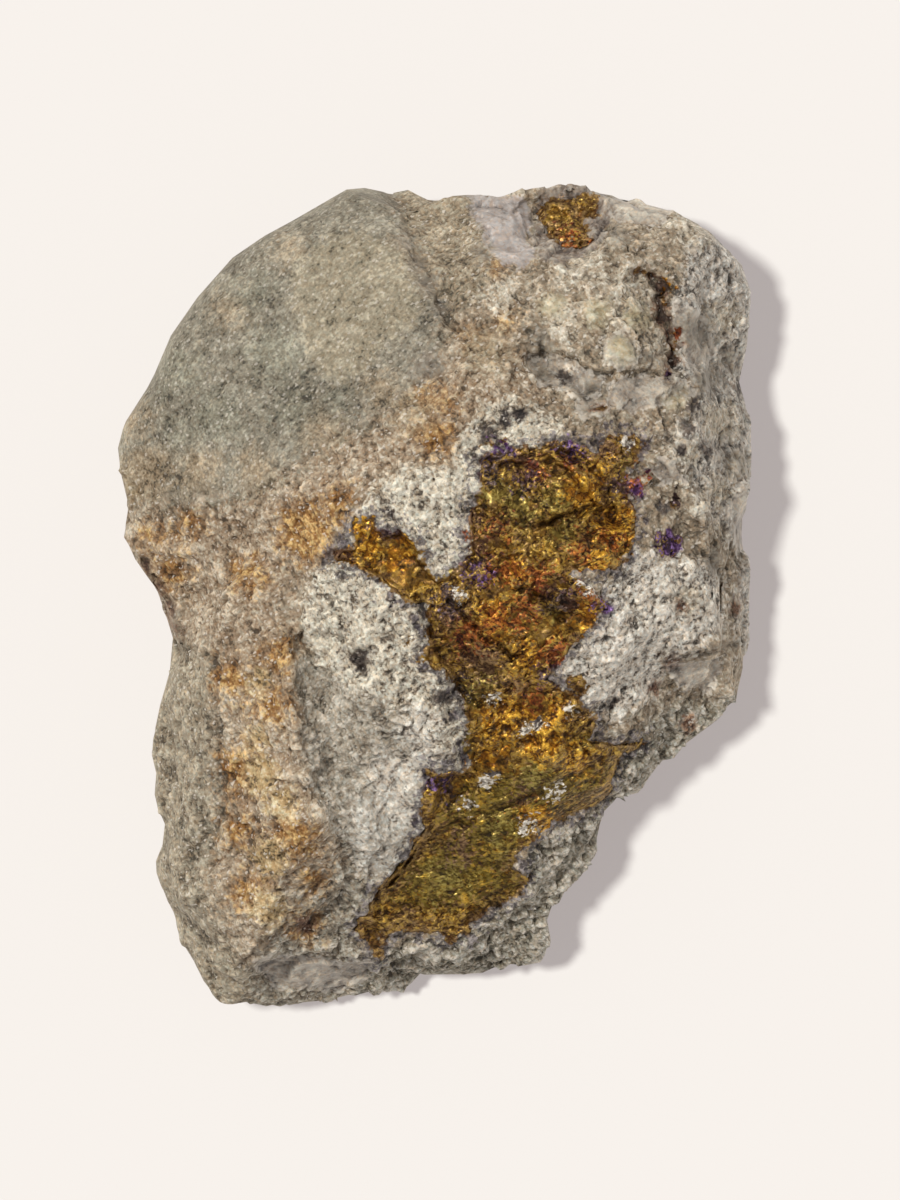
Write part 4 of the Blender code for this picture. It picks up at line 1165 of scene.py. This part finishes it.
def tone_patterns(board):
    """The patterns that make a zone darker and lighter from place to place, with painted shade in hollows
    and painted light on tops, round 0.5.
    """
    made = basic_patterns(board, ROCK_GRAINS, ROCK_WAVES)
    made["streaks"] = board.streaks(*ROCK_STREAKS)
    starts = (SUGARY_START, OTHER_START)
    sugary, other = (board.total(middle, *weighted(made, gains)) for middle, gains in starts)
    for name, gains in ROCK_TONES.items():
        start = sugary if name == "sugary" else other
        made[name] = board.total(start, *weighted(made, gains))
    made["hue"] = board.total(0.5, *weighted(made, ROCK_HUE))
    return made


# The ore's tints: dark, middle and light
ORE_TINTS = {
    "brassy": ((93, 65, 24), (126, 95, 38), (168, 137, 64)),
    "olive": ((76, 58, 12), (96, 78, 22), (132, 112, 48)),
    "mossy": ((86, 72, 28), (116, 99, 42), (160, 145, 78)),
    "plum": ((60, 38, 32), (96, 68, 52), (138, 108, 82)),
    "gold": ((116, 69, 14), (164, 107, 22), (224, 172, 58)),
    "red": ((54, 20, 14), (112, 46, 24), (176, 96, 46)),
    "blue": ((29, 21, 26), (54, 42, 49), (88, 78, 92)),
    "violet": ((42, 22, 50), (78, 46, 92), (130, 100, 154)),
}
TARNISH = ("mossy", "plum", "gold", "red", "blue", "violet")
TARNISH_SHARE = 0.8
# The hue above which grains turn gold and the one below which they turn plum, how sharply, and how
# much of that colour they take
WARM_HUE = 0.56
DULL_HUE = 0.43
HUE_SHARPNESS = 7.0
WARM_SHARE = 0.5
DULL_SHARE = 0.55
OLIVE_DULL_SHARE = 0.2
TARNISH_SOFTNESS = 0.5
# The darker rim along the ore's edge, and how much blue there is in its plum
RIM_WIDTH = 0.35
RIM_SOFTNESS = 0.8
RIM_SHARE = 0.5
RIM_BLUE = 0.4


def tarnished(board, tone, hue, ragged):
    """Dull gold to brown by the tone and hue, with gold, red and blue-purple tarnish."""
    made = {name: board.ramp(tone, tints(*stops)) for name, stops in ORE_TINTS.items()}
    over = board.maths("SUBTRACT", hue, WARM_HUE)
    under = board.maths("SUBTRACT", DULL_HUE, hue)
    warm = board.maths("MULTIPLY", over, HUE_SHARPNESS, clamp=True)
    dull = board.maths("MULTIPLY", under, HUE_SHARPNESS, clamp=True)
    for name, dull_share in (("brassy", DULL_SHARE), ("olive", OLIVE_DULL_SHARE)):
        warmed = board.mix(board.maths("MULTIPLY", warm, WARM_SHARE), made[name], made["gold"])
        dulled = board.maths("MULTIPLY", dull, dull_share)
        made[name] = board.mix(dulled, warmed, made["plum"])
    olive = board.share(board.attribute("olive"), ZONE_SOFTNESS, *ragged)
    ore = board.mix(olive, made["brassy"], made["olive"])
    bits = board.maths("MAXIMUM", board.attribute("ore_bits"), board.attribute("ore_flecks"))
    inside = board.maths("MAXIMUM", board.attribute("ore"), bits)
    rim = board.share(board.maths("SUBTRACT", RIM_WIDTH, inside), RIM_SOFTNESS, *ragged)
    rim_tint = board.mix(RIM_BLUE, made["plum"], made["blue"])
    ore = board.mix(board.maths("MULTIPLY", rim, RIM_SHARE), ore, rim_tint)
    for name in TARNISH:
        share = board.share(board.attribute(name), TARNISH_SOFTNESS, *ragged)
        ore = board.mix(board.maths("MULTIPLY", share, TARNISH_SHARE), ore, made[name])
    return ore, inside


def with_crack_shade(board, made, tint, *ragged):
    """The colour, with this darker one painted into the cracks as shade."""
    share = board.share(board.attribute("crack"), CRACK_SHADE_SOFTNESS, *ragged)
    return board.mix(board.maths("MULTIPLY", share, CRACK_SHADE_SHARE), made, colour(*tint))


# Flecks: the patterns, the random value above which a grain is one, and their colours. Then how
# strong they are, on the host rock and on clear quartz too, and how strong hues are on the host rock
FLECKS = (("flakes_speck", 0.94, PALE_SPECK), ("needles_speck", 0.93, DARK_SPECK_AND_CRACK_SHADE))
FLECK_STRENGTH = 0.55
HOST_FLECKS = 0.35
GLASS_FLECKS = 0.5
HOST_HUES = 0.6
# How rough dull rock, clear quartz, bits of ore and the seam's dark and light grains are, how
# glossy all rock is, and how metallic the ore is
ROCK_ROUGHNESS = 0.75
GLASS_ROUGHNESS = 0.32
BIT_ROUGHNESS = 0.42
ORE_ROUGHNESS = (0.55, 0.32)
ROCK_GLOSS = 0.3
METALLIC = 0.65
# Bump in the materials: its strength and its depth
ROCK_BUMP = (0.8, 0.12)
ORE_BUMP = (0.9, 0.14)


def edged(board, gap, noises, softness, *gains):
    """A share whose edge is this soft, and ragged by this much of each noise."""
    return board.share(gap, softness, *zip(noises, gains))


def layered(board, patterns, noises):
    """The stone's layers over one another, and how far the top one is clear quartz."""
    made = board.ramp(patterns["hackly"], tints(*BASE_TINTS))
    clear = 0.0
    for name, softness, ragged, pattern, *stops in STONE_LAYERS:
        gap = board.attribute(name)
        share = edged(board, gap, noises, softness, ragged, ragged / LESS_RAGGED)
        made = board.mix(share, made, board.ramp(patterns[pattern], tints(*stops)))
        clear = board.blend(share, clear, 1.0 if pattern == "glassy" else 0.0)
    return made, clear


def with_contact(board, made, patterns, noises):
    """The colour, with dark minerals where the quartz meets the ore."""
    gap = board.maths("ADD", board.attribute("ore"), CONTACT_REACH)
    share = edged(board, gap, noises, *CONTACT_EDGE)
    tint = board.ramp(patterns["hackly"], tints(*CONTACT_TINTS))
    return board.mix(board.maths("MULTIPLY", share, CONTACT_SHARE), made, tint)


def stone_material():
    """The stone's colour, gloss and fine grain, zone by zone, with painted shade in its cracks and hollows
    and painted light on its tops.
    """
    board = Board("milky_quartz_stone")
    patterns = tone_patterns(board)
    noises = (patterns["edge"], patterns["small"])
    made, clear = layered(board, patterns, noises)
    host = board.share(board.attribute("host"), ZONE_SOFTNESS)
    hues = board.ramp(patterns["hue"], HUES)
    made = board.mix(board.blend(host, 1.0, HOST_HUES), made, hues, "MULTIPLY")
    lip = board.maths("SUBTRACT", LIP_WIDTH, board.maths("ABSOLUTE", board.attribute("glass")))
    lip = edged(board, lip, noises, *LIP_EDGE)
    made = board.mix(board.maths("MULTIPLY", lip, LIP_SHARE), made, colour(*PALE_SPECK))
    strength = board.blend(host, FLECK_STRENGTH, HOST_FLECKS)
    strength = board.maths("MULTIPLY", strength, board.blend(clear, 1.0, GLASS_FLECKS))
    for grains, least, tint in FLECKS:
        fleck = board.maths("MULTIPLY", board.fleck(patterns[grains], least), strength)
        made = board.mix(fleck, made, colour(*tint))
    made = with_crack_shade(board, made, DARK_SPECK_AND_CRACK_SHADE, *zip(noises, CRACK_SHADE_RAGGED))
    made = with_contact(board, made, patterns, noises)
    hue = board.total(0.5, *weighted(patterns, BIT_HUE))
    ore, gap = tarnished(board, patterns["hackly"], hue, list(zip(noises, TARNISH_RAGGED)))
    outside = board.maths("MULTIPLY", board.attribute("sugar_bits"), -1.0)
    ore_share = edged(board, board.maths("MINIMUM", gap, outside), noises, *BIT_EDGE)
    rough = board.blend(clear, ROCK_ROUGHNESS, GLASS_ROUGHNESS)
    board.shade({
        "Base Color": board.mix(ore_share, made, ore),
        "Roughness": board.blend(ore_share, rough, BIT_ROUGHNESS),
        "Metallic": board.maths("MULTIPLY", ore_share, METALLIC),
        "Specular IOR Level": ROCK_GLOSS,
        "Normal": board.bump(patterns["sugary"], *ROCK_BUMP),
    })
    return board.material


# The ore's grains, waves and streaks, given like the rock's
ORE_GRAINS = {
    "patches": (2.3,),
    "flakes": (0.23, (0.4, 0.2, 0.35), 2.0),
    "needles": (0.25, (0.8, 0.5, -0.5), 2.0),
    "small": (0.42,),
    "plates": (0.9, (0.5, 0.3, 0.8), 1.6),
}
ORE_WAVES = {"middling": (1.0, 5.0, 0.8), "broad": (4.5, 2.0), "drift": (1.3, 4.0, 1.0, 20.0)}
STRIPES = (0.42, (0.0, 0.0, STRIAE_TURN), 9.0)
# Streaks that run another way in each patch: their width and stretch, their turns, and the random
# value of a patch from which the second and the third turn take over
FIBRE_WIDTH = 0.22
FIBRE_STRETCH = 3.2
FIBRE_TURNS = ((0.2, 0.1, 0.35), (0.1, 0.3, 1.5), (0.3, 0.1, -0.7))
TURNS_FROM = (0.36, 0.68)
# The middle of the ore's tone, and how much of each pattern its tone, hue and ragged edges have; the height
# and bulge in its tone are painted shade in hollows and painted light on tops
ORE_MIDDLE = 0.57
ORE_TONE = {"height": 0.18, "bulge": 0.26, "fibres": 0.8, "flakes": 0.56, "needles": 0.48,
            "small": 0.44, "plates": 0.34, "middling": 0.6, "broad": 0.35, "patches": 0.16}
ORE_HUE = {"flakes_hue": 0.26, "needles_hue": 0.22, "small_hue": 0.24, "fibres": 0.5}
ORE_RAGGED = {"middling": 7.0, "flakes_hue": 2.0, "needles_hue": 1.8, "small_hue": 1.4}
WHITE_BIT_SOFTNESS = 0.25


def ore_patterns(board):
    """The ore's tone, with painted shade in hollows and painted light on tops, and its hue, round 0.5, and
    what makes the edges of its tarnish ragged.
    """
    made = basic_patterns(board, ORE_GRAINS, ORE_WAVES)
    fibres, *others = [board.streaks(FIBRE_WIDTH, turn, FIBRE_STRETCH) for turn in FIBRE_TURNS]
    for least, other in zip(TURNS_FROM, others):
        fibres = board.blend(board.maths("GREATER_THAN", made["patches"], least), fibres, other)
    olive = board.share(board.attribute("olive"), ZONE_SOFTNESS)
    made["fibres"] = board.blend(olive, fibres, board.streaks(*STRIPES))
    tone = board.total(ORE_MIDDLE, *weighted(made, ORE_TONE))
    hue = board.total(made["drift"], *weighted(made, ORE_HUE))
    return tone, hue, weighted(made, ORE_RAGGED)


def ore_material():
    """Dull to bright brassy metal with tarnish, and painted shade in its cracks and hollows and painted
    light on its tops.
    """
    board = Board("copper_ore")
    tone, hue, ragged = ore_patterns(board)
    made = tarnished(board, tone, hue, ragged)[0]
    made = with_crack_shade(board, made, ORE_CRACK_SHADE, *ragged[1:])
    less_ragged = ((pattern, gain / LESS_RAGGED) for pattern, gain in ragged)
    white = board.share(board.attribute("sugar_bits"), WHITE_BIT_SOFTNESS, *less_ragged)
    board.shade({
        "Base Color": board.mix(white, made, board.ramp(tone, tints(*BIT_TINTS))),
        "Metallic": board.blend(white, METALLIC, 0.0),
        "Roughness": board.blend(tone, *ORE_ROUGHNESS),
        "Normal": board.bump(tone, *ORE_BUMP),
    })
    return board.material


# The floor, which glows a little so that it is as pale as the photo's
FLOOR_TINT = (124, 124, 121)
FLOOR_GLOW_TINT = (247, 235, 233)
FLOOR_GLOW = 0.40
FLOOR_ROUGHNESS = 0.9
# In metres
FLOOR_SIZE = 3.0


def make_floor():
    """A plain pale floor."""
    mesh = bpy.data.meshes.new("floor")
    half = FLOOR_SIZE / 2
    corners = [(-half, -half, 0.0), (half, -half, 0.0), (half, half, 0.0), (-half, half, 0.0)]
    mesh.from_pydata(corners, [], [(0, 1, 2, 3)])
    floor = add_object("floor", mesh)
    board = Board("floor")
    board.shade({
        "Base Color": colour(*FLOOR_TINT),
        "Roughness": FLOOR_ROUGHNESS,
        "Specular IOR Level": 0.0,
        "Emission Color": colour(*FLOOR_GLOW_TINT),
        "Emission Strength": FLOOR_GLOW,
    })
    mesh.materials.append(board.material)
    return floor


# Lights on the stone and the one on the floor, all from the left but for the faint fill: the
# direction each comes from, its strength and how wide it is
STONE_LIGHTS = {
    "key_light": ((-0.45, 0.32, 1.0), 2.15, math.radians(5)),
    "low_light": ((-0.9, 0.75, 0.8), 0.55, math.radians(30)),
    "fill_light": ((0.9, -0.2, 0.8), 0.55, math.radians(60)),
}
FLOOR_LIGHT = ((-0.265, 0.07, 1.0), 7.8, math.radians(5))
LIGHT_TINT = (1.0, 0.985, 0.955)
STUDIO_STRENGTH = 0.42
STUDIO_TINT = (1.0, 0.965, 0.985, 1.0)
BACKDROP = (247, 242, 236)


def make_sun(name, toward, strength, softness):
    """A distant soft light from this direction."""
    data = bpy.data.lights.new(name, "SUN")
    data.energy = strength
    data.color = LIGHT_TINT
    data.angle = softness
    sun = add_object(name, data)
    sun.rotation_mode = "QUATERNION"
    sun.rotation_quaternion = Vector(toward).to_track_quat("Z", "Y")
    return sun


def make_studio():
    """A pale surround that lights the stone softly and shows as the backdrop's colour."""
    world = bpy.data.worlds.new("studio")
    world.use_nodes = True
    tree = world.node_tree
    lighting = tree.nodes["Background"]
    lighting.inputs["Color"].default_value = STUDIO_TINT
    lighting.inputs["Strength"].default_value = STUDIO_STRENGTH
    shown = tree.nodes.new("ShaderNodeBackground")
    shown.inputs["Color"].default_value = colour(*BACKDROP)
    rays = tree.nodes.new("ShaderNodeLightPath")
    chosen = tree.nodes.new("ShaderNodeMixShader")
    tree.links.new(rays.outputs["Is Camera Ray"], chosen.inputs[0])
    tree.links.new(lighting.outputs[0], chosen.inputs[1])
    tree.links.new(shown.outputs[0], chosen.inputs[2])
    tree.links.new(chosen.outputs[0], tree.nodes["World Output"].inputs["Surface"])
    bpy.context.scene.world = world


# Camera: straight above this place, far off, with the frame this high at the stone's mid-height
CAMERA_OVER = (1.92, -0.3)
CAMERA_FOCUS_HEIGHT = 18.0
FRAME_HEIGHT = 132.0
LENS = 300.0
SENSOR = 36.0
# In metres
CLIPPING = (0.01, 50.0)


def make_camera():
    """The camera that takes the photo's view."""
    data = bpy.data.cameras.new("camera")
    data.lens = LENS
    data.sensor_width = SENSOR
    data.clip_start, data.clip_end = CLIPPING
    camera = add_object("camera", data)
    distance = FRAME_HEIGHT * LENS / SENSOR
    camera.location = Vector((*CAMERA_OVER, CAMERA_FOCUS_HEIGHT + distance)) * MM
    bpy.context.scene.camera = camera


def lit_group(name, lights):
    """A collection of the only things that these lights light."""
    group = bpy.data.collections.new(name)
    for light in lights:
        light.light_linking.receiver_collection = group
    return group


make_camera()
make_studio()
bpy.context.scene.view_settings.view_transform = "Standard"
lit_group("lit_floor", [make_sun("floor_key", *FLOOR_LIGHT)]).objects.link(make_floor())
stone_lights = [make_sun(name, *light) for name, light in STONE_LIGHTS.items()]
lit_stone = lit_group("lit_stone", stone_lights)


def dress(piece, material):
    """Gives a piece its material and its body."""
    piece.data.materials.clear()
    piece.data.materials.append(material)
    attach(piece, BODY)
    lit_stone.objects.link(piece)


stone, ground = make_stone()
rock = stone_material()
dress(stone, rock)
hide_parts(NODE)
ore = make_crust("ore_seam", ground, ore_gap, ore_relief, ORE_LEVEL, ORE_CELL, ORE_TRIANGLES)
dress(ore, ore_material())
sugar = make_crust(
    "sugary_quartz", ground, sugar_gap, sugar_relief, SUGAR_LEVEL, SUGAR_CELL, SUGAR_TRIANGLES
)
dress(sugar, rock)
